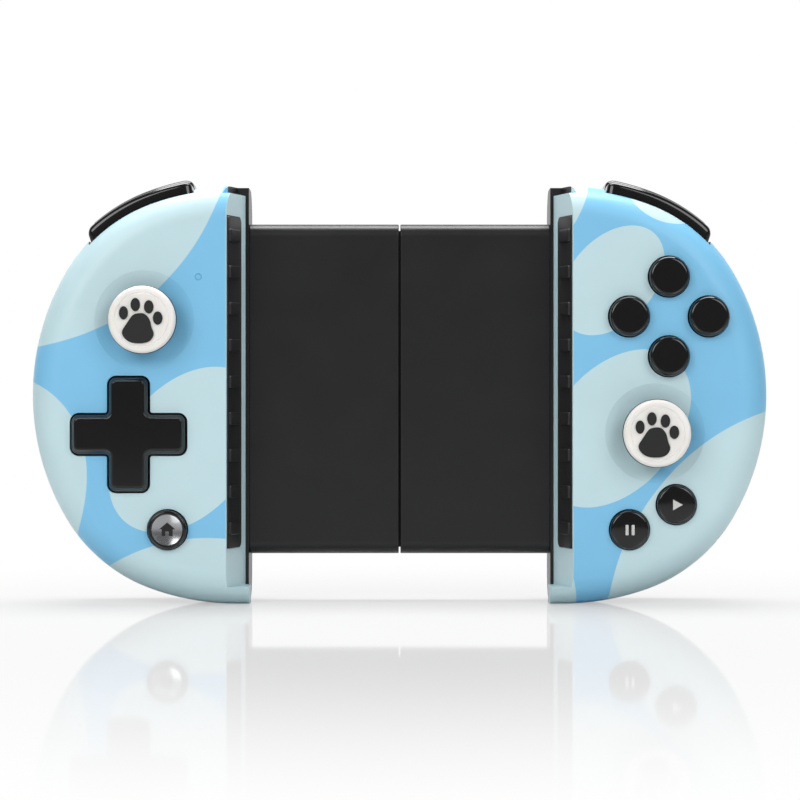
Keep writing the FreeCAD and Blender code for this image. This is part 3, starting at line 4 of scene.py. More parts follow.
import bmesh
import bpy
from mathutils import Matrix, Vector
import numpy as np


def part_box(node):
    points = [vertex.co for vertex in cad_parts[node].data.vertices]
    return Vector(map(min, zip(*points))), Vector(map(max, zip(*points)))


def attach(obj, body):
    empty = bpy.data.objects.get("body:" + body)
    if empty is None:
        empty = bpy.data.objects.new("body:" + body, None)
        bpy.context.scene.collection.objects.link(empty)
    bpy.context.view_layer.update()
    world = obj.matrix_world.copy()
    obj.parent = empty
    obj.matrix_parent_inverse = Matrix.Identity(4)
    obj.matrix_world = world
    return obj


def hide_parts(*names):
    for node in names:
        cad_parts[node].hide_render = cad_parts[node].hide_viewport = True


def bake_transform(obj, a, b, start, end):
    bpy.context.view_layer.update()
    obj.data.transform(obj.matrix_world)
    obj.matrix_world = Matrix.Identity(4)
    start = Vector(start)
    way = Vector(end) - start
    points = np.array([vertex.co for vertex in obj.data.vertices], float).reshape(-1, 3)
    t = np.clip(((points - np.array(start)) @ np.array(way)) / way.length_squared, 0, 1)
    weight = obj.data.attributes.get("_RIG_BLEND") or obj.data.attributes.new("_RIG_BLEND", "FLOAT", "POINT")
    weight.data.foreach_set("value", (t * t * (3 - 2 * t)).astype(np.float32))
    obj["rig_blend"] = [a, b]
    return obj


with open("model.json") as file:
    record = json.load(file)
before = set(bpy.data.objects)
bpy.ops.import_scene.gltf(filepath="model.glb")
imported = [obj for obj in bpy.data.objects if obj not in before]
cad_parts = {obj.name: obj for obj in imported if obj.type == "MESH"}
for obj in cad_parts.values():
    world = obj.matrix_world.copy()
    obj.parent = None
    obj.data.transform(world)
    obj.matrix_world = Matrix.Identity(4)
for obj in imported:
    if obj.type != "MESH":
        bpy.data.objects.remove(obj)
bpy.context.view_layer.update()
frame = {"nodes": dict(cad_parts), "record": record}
nodes = frame["nodes"]
record = frame["record"]
body_of = {node: body for body, held in record["behaviour"]["bodies"].items() for node in held}
MM = 0.001
SIDES = (("left", -1), ("right", 1))

# THE STUDIO. A pale polished acrylic floor that runs into a white surround, with a white backdrop
# some way behind. One soft box stands at either side in front, and one hangs straight above.


def shade(code):
    """An sRGB hex colour as the linear colour that Blender's sockets take."""
    parts = [int(code[i:i + 2], 16) / 255 for i in (1, 3, 5)]
    return [p / 12.92 if p <= 0.04045 else ((p + 0.055) / 1.055) ** 2.4 for p in parts] + [1.0]


def add_node(tree, kind, inputs=None, **settings):
    """Add a node. An input is a number, a colour, or a (node, output) pair to link from."""
    node = tree.nodes.new(kind)
    for option, value in settings.items():
        setattr(node, option, value)
    for socket, value in (inputs or {}).items():
        if isinstance(value, tuple) and isinstance(value[0], bpy.types.Node):
            tree.links.new(value[0].outputs[value[1]], node.inputs[socket])
        else:
            node.inputs[socket].default_value = value
    return node


def new_material(name):
    """An empty material and its node tree."""
    material = bpy.data.materials.new(name)
    material.use_nodes = True
    material.node_tree.nodes.clear()
    return material, material.node_tree


def new_object(name, points, faces, material=None):
    """A mesh object from points in metres, standing at the origin."""
    mesh = bpy.data.meshes.new(name)
    mesh.from_pydata(points, [], faces)
    mesh.validate()
    if material:
        mesh.materials.append(material)
    item = bpy.data.objects.new(name, mesh)
    bpy.context.scene.collection.objects.link(item)
    return item


# Polished acrylic: matt white below a mirror-smooth top. It fades to pure white away from the object,
# and the camera sees it part lit, as a photograph's ground is lifted towards white.
FADE_MIDDLE = (0.0, -0.08, 0.0)
FADE_START = 0.04
FADE_END = 0.25
LEAST_LIFT = 0.33
FLOOR_SHINE = 0.35
acrylic, tree = new_material("polished_acrylic_floor")
place = add_node(tree, "ShaderNodeTexCoord")
ahead = add_node(
    tree, "ShaderNodeVectorMath", {0: (place, "Object"), 1: FADE_MIDDLE}, operation="DISTANCE"
)
surround = add_node(
    tree, "ShaderNodeMapRange",
    {
        "Value": (ahead, "Value"), "From Min": FADE_START, "From Max": FADE_END,
        "To Min": LEAST_LIFT, "To Max": 1.0,
    },
    interpolation_type="SMOOTHSTEP",
)
ray = add_node(tree, "ShaderNodeLightPath")
lifted = add_node(
    tree, "ShaderNodeMath", {0: (surround, "Result"), 1: (ray, "Is Camera Ray")}, operation="MULTIPLY"
)
matt = add_node(tree, "ShaderNodeBsdfDiffuse", {"Color": shade("#c8c8c8")})
shine = add_node(tree, "ShaderNodeBsdfAnisotropic", {"Color": shade("#ffffff"), "Roughness": 0.04})
top = add_node(tree, "ShaderNodeMixShader", {0: FLOOR_SHINE, 1: (matt, "BSDF"), 2: (shine, "BSDF")})
white = add_node(tree, "ShaderNodeEmission", {"Color": shade("#ffffff"), "Strength": 1.0})
both = add_node(
    tree, "ShaderNodeMixShader", {0: (lifted, "Value"), 1: (top, "Shader"), 2: (white, "Emission")}
)
add_node(tree, "ShaderNodeOutputMaterial", {"Surface": (both, "Shader")})
FLOOR = 3.0
floor = new_object(
    "floor", [(-FLOOR, -FLOOR, 0), (FLOOR, -FLOOR, 0), (FLOOR, FLOOR, 0), (-FLOOR, FLOOR, 0)],
    [(0, 1, 2, 3)], acrylic,
)

# Backdrop paper: pure white to the camera and in reflections, as bright as the room to the rest.
ROOM = 0.28
BACKDROP_Y = 1.6
BACKDROP_HIGH = 2.6
paper, tree = new_material("backdrop_paper")
ray = add_node(tree, "ShaderNodeLightPath")
plain = add_node(
    tree, "ShaderNodeMath", {0: (ray, "Is Camera Ray"), 1: (ray, "Is Glossy Ray")},
    operation="MAXIMUM",
)
level = add_node(
    tree, "ShaderNodeMapRange", {"Value": (plain, "Value"), "To Min": ROOM, "To Max": 1.0}
)
glow = add_node(
    tree, "ShaderNodeEmission", {"Color": shade("#ffffff"), "Strength": (level, "Result")}
)
add_node(tree, "ShaderNodeOutputMaterial", {"Surface": (glow, "Emission")})
backdrop = new_object(
    "backdrop",
    [
        (-FLOOR, BACKDROP_Y, 0), (FLOOR, BACKDROP_Y, 0), (FLOOR, BACKDROP_Y, BACKDROP_HIGH),
        (-FLOOR, BACKDROP_Y, BACKDROP_HIGH),
    ],
    [(0, 1, 2, 3)], paper,
)

# The room is white to the camera, dim in reflections, so that black gloss stays black, and soft to
# the rest.
ROOM_MIRRORED = 0.16
world = bpy.data.worlds.new("white_studio")
world.use_nodes = True
world.node_tree.nodes.clear()
tree = world.node_tree
ray = add_node(tree, "ShaderNodeLightPath")
dimmed = add_node(
    tree, "ShaderNodeMapRange",
    {"Value": (ray, "Is Glossy Ray"), "To Min": ROOM, "To Max": ROOM_MIRRORED},
)
clear = add_node(
    tree, "ShaderNodeMath", {0: (ray, "Is Camera Ray"), 1: (ray, "Is Transmission Ray")},
    operation="MAXIMUM",
)
level = add_node(
    tree, "ShaderNodeMapRange",
    {"Value": (clear, "Value"), "To Min": (dimmed, "Result"), "To Max": 1.0},
)
sky = add_node(
    tree, "ShaderNodeBackground", {"Color": shade("#ffffff"), "Strength": (level, "Result")}
)
add_node(tree, "ShaderNodeOutputWorld", {"Surface": (sky, "Background")})
bpy.context.scene.world = world

LAMPS_AIM = Vector((0, 0, 0.05))
for name, spot, width, height, watts in (
    ("left_box", (-0.45, -0.65, 0.45), 0.45, 0.45, 2.6),
    ("right_box", (0.45, -0.65, 0.45), 0.45, 0.45, 2.2),
    ("top_box", (0.0, 0.11, 0.72), 0.60, 0.34, 6.2),
):
    lamp = bpy.data.lights.new(name, "AREA")
    lamp.shape = "RECTANGLE"
    lamp.size = width
    lamp.size_y = height
    lamp.energy = watts
    holder = bpy.data.objects.new(name, lamp)
    holder.location = spot
    holder.rotation_euler = (LAMPS_AIM - Vector(spot)).to_track_quat("-Z", "Y").to_euler()
    holder.visible_camera = False
    bpy.context.scene.collection.objects.link(holder)

# The photograph looks level at the face from 0.6 m, at half the grips' height.
CAMERA_SPOT = (0.0001, -0.609575, 0.04756)
CAMERA_LENS = 116.9
CAMERA_SENSOR = 36.0
camera = bpy.data.cameras.new("camera")
camera.lens = CAMERA_LENS
camera.sensor_width = CAMERA_SENSOR
camera_holder = bpy.data.objects.new("camera", camera)
camera_holder.location = CAMERA_SPOT
camera_holder.rotation_euler = (math.radians(90), 0, 0)
bpy.context.scene.collection.objects.link(camera_holder)
bpy.context.scene.camera = camera_holder
bpy.context.scene.view_settings.view_transform = "Standard"

# THE BLUE FRONT SHELLS. Each is an injection moulding in ABS, painted in two blues in a broad
# camouflage and sprayed with a soft clear coat. Its edges are eased as a mould's are.
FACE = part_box("left_front_shell")[0].y / MM
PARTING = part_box("left_front_shell")[1].y / MM
WALL_TOP = 40.1
WALL_LEANS_IN = 3.8
WALL_LEAN = WALL_LEANS_IN / (PARTING - FACE)
WELD = 0.002
FLAT_TURN = 0.5


def finished(piece):
    """Keep what a piece's modifiers make of it as its plain mesh."""
    piece.update_tag()
    bpy.context.view_layer.update()
    sight = bpy.context.evaluated_depsgraph_get()
    made = bpy.data.meshes.new_from_object(piece.evaluated_get(sight), depsgraph=sight)
    piece.modifiers.clear()
    piece.data = made
    return piece


def softened(node, rounding, turn=24, segments=3):
    """A copy of a CAD node as one clean mesh, with the edges that turn more than an angle rounded."""
    mesh = nodes[node].data.copy()
    mesh.name = node + "_skin"
    work = bmesh.new()
    work.from_mesh(mesh)
    bmesh.ops.remove_doubles(work, verts=work.verts, dist=WELD * MM)
    bmesh.ops.dissolve_limit(
        work, angle_limit=math.radians(FLAT_TURN), verts=work.verts, edges=work.edges
    )
    work.to_mesh(mesh)
    work.free()
    for layer in [a.name for a in mesh.attributes if a.name == "custom_normal"]:
        mesh.attributes.remove(mesh.attributes[layer])
    piece = bpy.data.objects.new(node + "_skin", mesh)
    bpy.context.scene.collection.objects.link(piece)
    mesh.shade_smooth()
    edge = piece.modifiers.new("eased_edges", "BEVEL")
    edge.width = rounding * MM
    edge.segments = segments
    edge.limit_method = "ANGLE"
    edge.angle_limit = math.radians(turn)
    edge.miter_outer = "MITER_ARC"
    true_faces = piece.modifiers.new("flat_faces_stay_flat", "WEIGHTED_NORMAL")
    true_faces.weight = 100
    return finished(piece)


def fix(piece, material, node):
    """Give a piece its material, and let it stand for a CAD node and move with that node's body."""
    piece.data.materials.clear()
    piece.data.materials.append(material)
    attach(piece, body_of[node])
    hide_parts(node)
    return piece


# Painted ABS under a satin clear coat: soft broad highlights, and a faint orange peel of 0.6 mm.
PAINT_TOP = 95.8
PATCH_EDGE = 0.002
PALE = shade("#c3dfe5")
BLUE = shade("#7fc4ea")
BARE_BLACK = shade("#141415")
# Each pale patch of the camouflage is an ellipse: its centre across and up, its half axes, and its
# tilt in degrees. These numbers weren't chosen by hand: a fitting program outside this script gave
# them, from points read along the photographed edges.
PATCHES = {
    "left": [
        (-91.7, 112.4, 53.0, 53.0, 0), (-96.5, 23.8, 30.1, 22.8, 65),
        (-49.35, 36.1, 14.5, 21.8, 140.2), (-44.4, -27.4, 43.1, 43.1, 0),
    ],
    "right": [
        (15.0, 103.7, 29.7, 29.7, 0), (64.1, 100.5, 12.1, 12.1, 0), (49.1, 75.2, 9.7, 14.6, 138.5),
        (50.0, 41.0, 13.9, 21.0, 139), (79.2, 12.4, 38.3, 24.4, 50.5), (16.2, -0.5, 24.9, 24.9, 0),
    ],
}


def camouflage_paint(side):
    """The painted finish of one front shell."""
    material, tree = new_material(f"painted_abs_camouflage_{side}")
    place = add_node(tree, "ShaderNodeTexCoord")
    nearest = None
    for across, up, long_half, short_half, tilt in PATCHES[side]:
        turned = add_node(
            tree, "ShaderNodeMapping",
            {
                "Vector": (place, "Object"), "Location": (across * MM, 0.0, up * MM),
                "Rotation": (0.0, math.radians(-tilt), 0.0),
                "Scale": (long_half * MM, 1e6, short_half * MM),
            },
            vector_type="TEXTURE",
        )
        away = add_node(tree, "ShaderNodeVectorMath", {0: (turned, "Vector")}, operation="LENGTH")
        if nearest is None:
            nearest = (away, "Value")
        else:
            least = add_node(
                tree, "ShaderNodeMath", {0: nearest, 1: (away, "Value")}, operation="MINIMUM"
            )
            nearest = (least, "Value")
    patch = add_node(
        tree, "ShaderNodeMapRange",
        {"Value": nearest, "From Min": 1 + PATCH_EDGE, "From Max": 1 - PATCH_EDGE},
    )
    # The cradle's leaning wall and the lip below it are one plain pale colour.
    split = add_node(tree, "ShaderNodeSeparateXYZ", {"Vector": (place, "Object")})
    beside = add_node(tree, "ShaderNodeMath", {0: (split, "X")}, operation="ABSOLUTE")
    leaned = add_node(
        tree, "ShaderNodeMath", {0: (split, "Y"), 1: WALL_LEAN, 2: (beside, "Value")},
        operation="MULTIPLY_ADD",
    )
    wall_edge = (WALL_TOP + WALL_LEAN * FACE) * MM
    wall = add_node(
        tree, "ShaderNodeMapRange",
        {
            "Value": (leaned, "Value"), "From Min": wall_edge + 0.10 * MM,
            "From Max": wall_edge + 0.04 * MM,
        },
    )
    pale = add_node(
        tree, "ShaderNodeMath", {0: (patch, "Result"), 1: (wall, "Result")}, operation="MAXIMUM"
    )
    drift = add_node(tree, "ShaderNodeTexNoise", {"Vector": (place, "Object"), "Scale": 90.0})
    tone = add_node(
        tree, "ShaderNodeMapRange", {"Value": (drift, "Fac"), "To Min": 0.97, "To Max": 1.03}
    )
    colour = add_node(
        tree, "ShaderNodeMix", {"Factor": (pale, "Value"), 6: BLUE, 7: PALE}, data_type="RGBA"
    )
    # The paint stops short of the wall's upper end, where the black moulding shows.
    near = add_node(
        tree, "ShaderNodeMapRange",
        {
            "Value": (beside, "Value"), "From Min": (WALL_TOP - 0.02) * MM,
            "From Max": (WALL_TOP - 0.08) * MM,
        },
    )
    high = add_node(
        tree, "ShaderNodeMapRange",
        {"Value": (split, "Z"), "From Min": PAINT_TOP * MM, "From Max": (PAINT_TOP + 0.06) * MM},
    )
    bare = add_node(
        tree, "ShaderNodeMath", {0: (near, "Result"), 1: (high, "Result")}, operation="MULTIPLY"
    )
    coated = add_node(
        tree, "ShaderNodeMix", {"Factor": (bare, "Value"), 6: (colour, "Result"), 7: BARE_BLACK},
        data_type="RGBA",
    )
    toned = add_node(
        tree, "ShaderNodeVectorMath", {0: (coated, "Result"), "Scale": (tone, "Result")},
        operation="SCALE",
    )
    peel = add_node(
        tree, "ShaderNodeTexNoise", {"Vector": (place, "Object"), "Scale": 1600.0, "Detail": 2.0}
    )
    bump = add_node(
        tree, "ShaderNodeBump", {"Height": (peel, "Fac"), "Strength": 0.4, "Distance": 0.004 * MM}
    )
    skin = add_node(
        tree, "ShaderNodeBsdfPrincipled",
        {
            "Base Color": (toned, "Vector"), "Roughness": 0.45, "IOR": 1.46, "Coat Weight": 0.12,
            "Coat Roughness": 0.3, "Normal": (bump, "Normal"),
        },
    )
    add_node(tree, "ShaderNodeOutputMaterial", {"Surface": (skin, "BSDF")})
    return material


for side, sign in SIDES:
    fix(softened(f"{side}_front_shell", 0.3, 12), camouflage_paint(side), f"{side}_front_shell")

# THE BLACK REAR SHELLS AND THE BRACKET'S COVERS. Moulded in black ABS in a spark-eroded mould, which
# leaves a fine even grain. Each rear shell carries half the bracket, and a cover is welded over it.


def moulded(name, colour, roughness, grain, relief, **more):
    """A moulded plastic or rubber: a grain of a size and depth in mm, and a tone that drifts."""
    material, tree = new_material(name)
    place = add_node(tree, "ShaderNodeTexCoord")
    fine = add_node(
        tree, "ShaderNodeTexNoise",
        {"Vector": (place, "Object"), "Scale": 1 / (grain * MM), "Detail": 3.0},
    )
    bump = add_node(
        tree, "ShaderNodeBump", {"Height": (fine, "Fac"), "Strength": 1.0, "Distance": relief * MM}
    )
    broad = add_node(
        tree, "ShaderNodeTexNoise", {"Vector": (place, "Object"), "Scale": 110.0, "Detail": 2.0}
    )
    tone = add_node(
        tree, "ShaderNodeMapRange", {"Value": (broad, "Fac"), "To Min": 0.9, "To Max": 1.1}
    )
    body = add_node(
        tree, "ShaderNodeVectorMath", {0: shade(colour)[:3], "Scale": (tone, "Result")},
        operation="SCALE",
    )
    worn = add_node(
        tree, "ShaderNodeMath", {0: (tone, "Result"), 1: roughness}, operation="MULTIPLY"
    )
    settings = {
        "Base Color": (body, "Vector"), "Roughness": (worn, "Value"), "Normal": (bump, "Normal"),
    }
    settings.update(more)
    skin = add_node(tree, "ShaderNodeBsdfPrincipled", settings)
    add_node(tree, "ShaderNodeOutputMaterial", {"Surface": (skin, "BSDF")})
    return material


def smooth(item, turn=35):
    """Turn a closed mesh's faces outward and shade it smooth, but for its sharp edges."""
    work = bmesh.new()
    work.from_mesh(item.data)
    bmesh.ops.recalc_face_normals(work, faces=work.faces)
    work.to_mesh(item.data)
    work.free()
    item.data.shade_smooth()
    item.data.set_sharp_from_angle(angle=math.radians(turn))
    return item


def stacked(name, rings):
    """A closed solid over rings of as many points each, in mm, its first and last ring filled."""
    count = len(rings[0])
    points = [(x * MM, y * MM, z * MM) for ring in rings for x, y, z in ring]
    faces = [tuple(range(count)), tuple(len(points) - 1 - i for i in range(count))]
    for level in range(len(rings) - 1):
        for i in range(count):
            low = level * count
            after = (i + 1) % count
            faces.append((low + i, low + after, low + count + after, low + count + i))
    return smooth(new_object(name, points, faces))


def rounded_rectangle(half_width, half_height, corner, steps=5):
    """Points round a rectangle with rounded corners, about its middle."""
    points = []
    for quarter, (side_u, side_v) in enumerate(((1, 1), (-1, 1), (-1, -1), (1, -1))):
        for step in range(steps + 1):
            turn = math.pi / 2 * (quarter + step / steps)
            u = side_u * (half_width - corner) + corner * math.cos(turn)
            v = side_v * (half_height - corner) + corner * math.sin(turn)
            points.append((u, v))
    return points


# Grained black ABS: near black, with wide dim highlights that break up in the grain.
grained_abs = moulded("grained_black_abs", "#161617", 0.34, 0.35, 0.004)
for side, sign in SIDES:
    fix(softened(f"{side}_rear_shell", 0.3), grained_abs, f"{side}_rear_shell")
    fix(softened(f"{side}_bracket_front", 0.25), grained_abs, f"{side}_bracket_front")

# A black sheet, 0.24 mm thick, stands behind the left cover's edge across the seam. It is painted shade that
# keeps the seam dark.
COVER_WALL = 1.4
STRIP_HALF_WIDTH = 2.3
STRIP_MIDDLE = -1.1
cover_low, cover_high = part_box("left_bracket_front")
behind = cover_low.y / MM + COVER_WALL
reach = (cover_high.z - cover_low.z) / 2 / MM - COVER_WALL - 0.2
middle = (cover_high.z + cover_low.z) / 2 / MM
strip = stacked("dust_strip", [
    [
        (STRIP_MIDDLE + u, behind + layer, middle + v)
        for u, v in rounded_rectangle(STRIP_HALF_WIDTH - inset, reach - inset, 0.4)
    ]
    for layer, inset in ((0.1, 0.05), (0.13, 0.0), (0.31, 0.0), (0.34, 0.05))
])
strip.data.materials.append(grained_abs)
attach(strip, "left_grip")

# THE PHONE PADS. Silicone rubber, 0.7 mm thick with nine ribs across, pressed into a pocket on each
# cradle's wall. Every rib is the same moulded bar, rounded at its edges.
PAD_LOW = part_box("left_phone_pad")[0].z / MM
PAD_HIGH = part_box("left_phone_pad")[1].z / MM
PAD_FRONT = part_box("left_phone_pad")[0].y / MM
PAD_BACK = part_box("left_phone_pad")[1].y / MM
RIBS = 9
RIB_PITCH = 8.5
RIB_WIDTH = 3.0
RIB_MARGIN = 0.4
RIB_SHORT = 2.2


def on_wall(sign, depth, up, proud):
    """A place on a cradle's leaning wall, by its depth, its height and how far out it stands."""
    return (sign * (WALL_TOP - WALL_LEAN * (depth - FACE) - proud), depth, up)


def wall_bar(name, sign, front, back, half_height, corner, layers, middle_up):
    """A bar on the wall with rounded corners: each layer stands proud and draws in by its own."""
    middle = (front + back) / 2
    half_depth = (back - front) / 2
    rings = []
    for proud, inset in layers:
        eased = corner - min(inset, corner / 2)
        outline = rounded_rectangle(half_depth - inset, half_height - inset, eased)
        rings.append([on_wall(sign, middle + u, middle_up + v, proud) for u, v in outline])
    return stacked(name, rings)


def rows_of_ribs(name):
    """A node tree that repeats one rib up the wall at a pitch, and its inputs' identifiers."""
    tree = bpy.data.node_groups.new(name + "_rows", "GeometryNodeTree")
    sockets = {}
    for label, kind in (
        ("Rib", "NodeSocketObject"), ("Count", "NodeSocketInt"), ("Pitch", "NodeSocketFloat"),
        ("Finish", "NodeSocketMaterial"),
    ):
        socket = tree.interface.new_socket(label, in_out="INPUT", socket_type=kind)
        sockets[label] = socket.identifier
    tree.interface.new_socket("Geometry", in_out="OUTPUT", socket_type="NodeSocketGeometry")
    given = tree.nodes.new("NodeGroupInput")
    step = add_node(tree, "ShaderNodeCombineXYZ", {"Z": (given, "Pitch")})
    line = add_node(
        tree, "GeometryNodeMeshLine", {"Count": (given, "Count"), "Offset": (step, "Vector")}
    )
    form = add_node(tree, "GeometryNodeObjectInfo", {"Object": (given, "Rib")})
    rows = add_node(
        tree, "GeometryNodeInstanceOnPoints",
        {"Points": (line, "Mesh"), "Instance": (form, "Geometry")},
    )
    real = add_node(tree, "GeometryNodeRealizeInstances", {"Geometry": (rows, "Instances")})
    dressed = add_node(
        tree, "GeometryNodeSetMaterial",
        {"Geometry": (real, "Geometry"), "Material": (given, "Finish")},
    )
    add_node(tree, "NodeGroupOutput", {"Geometry": (dressed, "Geometry")})
    return tree, sockets


def grown(name, tree, values, base=None):
    """Run a node tree on a base mesh and keep what it makes as one plain mesh object."""
    item = base or new_object(name, [], [])
    item.name = name
    maker = item.modifiers.new(name, "NODES")
    maker.node_group = tree
    for identifier, value in values.items():
        maker[identifier] = value
    return finished(item)


def joined(name, *items):
    """Several meshes as one object."""
    work = bmesh.new()
    for item in items:
        work.from_mesh(item.data)
    mesh = bpy.data.meshes.new(name)
    work.to_mesh(mesh)
    work.free()
    for item in items:
        bpy.data.objects.remove(item)
    whole = bpy.data.objects.new(name, mesh)
    bpy.context.scene.collection.objects.link(whole)
    return whole


# Black silicone rubber: dark, matt and even, with a slight bloom on its raised edges.
silicone = moulded("black_silicone_rubber", "#111112", 0.5, 0.22, 0.004, **{"Sheen Weight": 0.03})
for side, sign in SIDES:
    sheet = wall_bar(
        f"{side}_pad_sheet", sign, PAD_FRONT, PAD_BACK, (PAD_HIGH - PAD_LOW) / 2, 1.5,
        ((-0.4, 0.05), (0.1, 0.05), (0.25, 0.1), (0.3, 0.25)), (PAD_LOW + PAD_HIGH) / 2,
    )
    first_up = (PAD_LOW + PAD_HIGH) / 2 - (RIBS - 1) / 2 * RIB_PITCH
    rib = wall_bar(
        f"{side}_rib", sign, PAD_FRONT + RIB_MARGIN, PAD_BACK - RIB_SHORT, RIB_WIDTH / 2, 0.6,
        ((0.1, 0.0), (0.62, 0.0), (0.78, 0.06), (0.87, 0.18), (0.9, 0.35)), first_up,
    )
    tree, sockets = rows_of_ribs(f"{side}_ribs")
    ribs = grown(
        f"{side}_ribs", tree,
        {
            sockets["Rib"]: rib, sockets["Count"]: RIBS, sockets["Pitch"]: RIB_PITCH * MM,
            sockets["Finish"]: silicone,
        },
    )
    bpy.data.objects.remove(rib)
    pad = smooth(joined(f"{side}_phone_pad_skin", sheet, ribs))
    fix(pad, silicone, f"{side}_phone_pad")

# THE INNER SLIDE WITH ITS GEARS. Two flat nylon mouldings that both bracket halves run on, two acetal
# racks and the pinion between them, which makes both grips move alike. The slide shows once they are
# pulled out.

# Black glass-filled nylon: a matt dark grey with an even grain of 0.5 mm.
nylon = moulded("black_glass_filled_nylon", "#222224", 0.5, 0.5, 0.01)
for node in ("centre_slide_front", "centre_slide_rear"):
    fix(softened(node, 0.2), nylon, node)


def clad(node, material):
    """Give a CAD node its finish where its own form is already right."""
    mesh = nodes[node].data
    mesh.materials.clear()
    mesh.materials.append(material)


# Natural acetal: milky white and slightly waxy, with light that goes a little way in.
acetal = moulded(
    "natural_acetal", "#e6e3da", 0.32, 0.9, 0.003,
    **{"Subsurface Weight": 0.2, "Subsurface Scale": 0.6 * MM},
)
for node in ("left_rack", "right_rack", "sync_pinion"):
    fix(softened(node, 0.12, 30, 2), acetal, node)

# THE RETURN SPRINGS. Each is 0.5 mm music wire wound cold into sixteen open turns. One end stays at
# the slide's stop, and the other goes out with its rack, so the turns open as the grip is pulled.
SPRING_TURNS = 16
WIRE = 0.5
COIL = 1.15


def metal(name, colour, roughness, drawn, relief):
    """A plain metal: fine marks of a spacing and depth in mm, and a roughness that varies."""
    material, tree = new_material(name)
    place = add_node(tree, "ShaderNodeTexCoord")
    marks = add_node(
        tree, "ShaderNodeTexNoise",
        {"Vector": (place, "Object"), "Scale": 1 / (drawn * MM), "Detail": 4.0},
    )
    bump = add_node(
        tree, "ShaderNodeBump", {"Height": (marks, "Fac"), "Strength": 1.0, "Distance": relief * MM}
    )
    worn = add_node(
        tree, "ShaderNodeMapRange",
        {"Value": (marks, "Fac"), "To Min": roughness * 0.8, "To Max": roughness * 1.25},
    )
    skin = add_node(
        tree, "ShaderNodeBsdfPrincipled",
        {
            "Base Color": shade(colour), "Metallic": 1.0, "Roughness": (worn, "Result"),
            "Normal": (bump, "Normal"),
        },
    )
    add_node(tree, "ShaderNodeOutputMaterial", {"Surface": (skin, "BSDF")})
    return material


def wound(name, start, end, up, depth):
    """A helix of round wire between two places across, with flat cut ends."""
    around = 10
    steps = SPRING_TURNS * 24
    rings = []
    for step in range(steps + 1):
        turn = 2 * math.pi * SPRING_TURNS * step / steps
        across = start + (end - start) * step / steps
        centre = Vector((across, depth + COIL * math.sin(turn), up + COIL * math.cos(turn)))
        outward = Vector((0, math.sin(turn), math.cos(turn)))
        rings.append([
            centre + outward * (WIRE / 2 * math.cos(a)) + Vector((WIRE / 2 * math.sin(a), 0, 0))
            for a in (2 * math.pi * i / around for i in range(around))
        ])
    return stacked(name, rings)


# Music wire: cold-drawn steel, grey and bright, with fine draw marks along it.
music_wire = metal("music_wire", "#a7a9ac", 0.28, 0.12, 0.003)
for side, sign in SIDES:
    low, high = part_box(f"{side}_spring")
    fixed = min(abs(low.x), abs(high.x)) / MM + WIRE / 2
    pulled = max(abs(low.x), abs(high.x)) / MM - WIRE / 2
    up = (low.z + high.z) / 2 / MM
    depth = (low.y + high.y) / 2 / MM
    spring = wound(f"{side}_spring_wire", sign * fixed, sign * pulled, up, depth)
    spring.data.materials.append(music_wire)
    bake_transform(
        spring, "centre_slide", f"{side}_grip", (sign * fixed * MM, 0, 0), (sign * pulled * MM, 0, 0)
    )
    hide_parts(f"{side}_spring")

# THE THUMB STICKS. A round white silicone cap is bonded on a black acetal head with its shaft. A paw
# of black silicone stands a little proud of the cap. Below, a housing holds the yoke and the block.
CORE = 0.3


def arc(middle_radius, middle_depth, bend, start, end, steps=6):
    """Points of a rounded edge in a turned part's outline, angles in degrees from straight out."""
    turns = (math.radians(start + (end - start) * step / steps) for step in range(steps + 1))
    return [(middle_radius + bend * math.cos(a), middle_depth + bend * math.sin(a)) for a in turns]


def turned(name, outline, across, up, around=96, edge=35):
    """A part turned about the depth: an outline of (radius, depth) in mm, from front to back."""
    points = []
    faces = []
    for radius, depth in outline:
        for i in range(around):
            a = 2 * math.pi * i / around
            points.append((
                (across + radius * math.cos(a)) * MM, depth * MM, (up + radius * math.sin(a)) * MM,
            ))
    for level in range(len(outline) - 1):
        for i in range(around):
            low = level * around
            after = (i + 1) % around
            faces.append((low + i, low + after, low + around + after, low + around + i))
    faces.append(tuple(range(around)))
    faces.append(tuple(len(points) - 1 - i for i in range(around)))
    return smooth(new_object(name, points, faces), edge)


def middle_of(node):
    """The middle of a CAD node, across and up, and its front and back, in mm."""
    low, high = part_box(node)
    return (low.x + high.x) / 2 / MM, (low.z + high.z) / 2 / MM, low.y / MM, high.y / MM


# White silicone: warm white, soft and slightly translucent, so that its edge glows.
white_silicone = moulded(
    "white_silicone", "#efece8", 0.42, 0.3, 0.003,
    **{"Subsurface Weight": 0.15, "Subsurface Scale": 0.8 * MM},
)
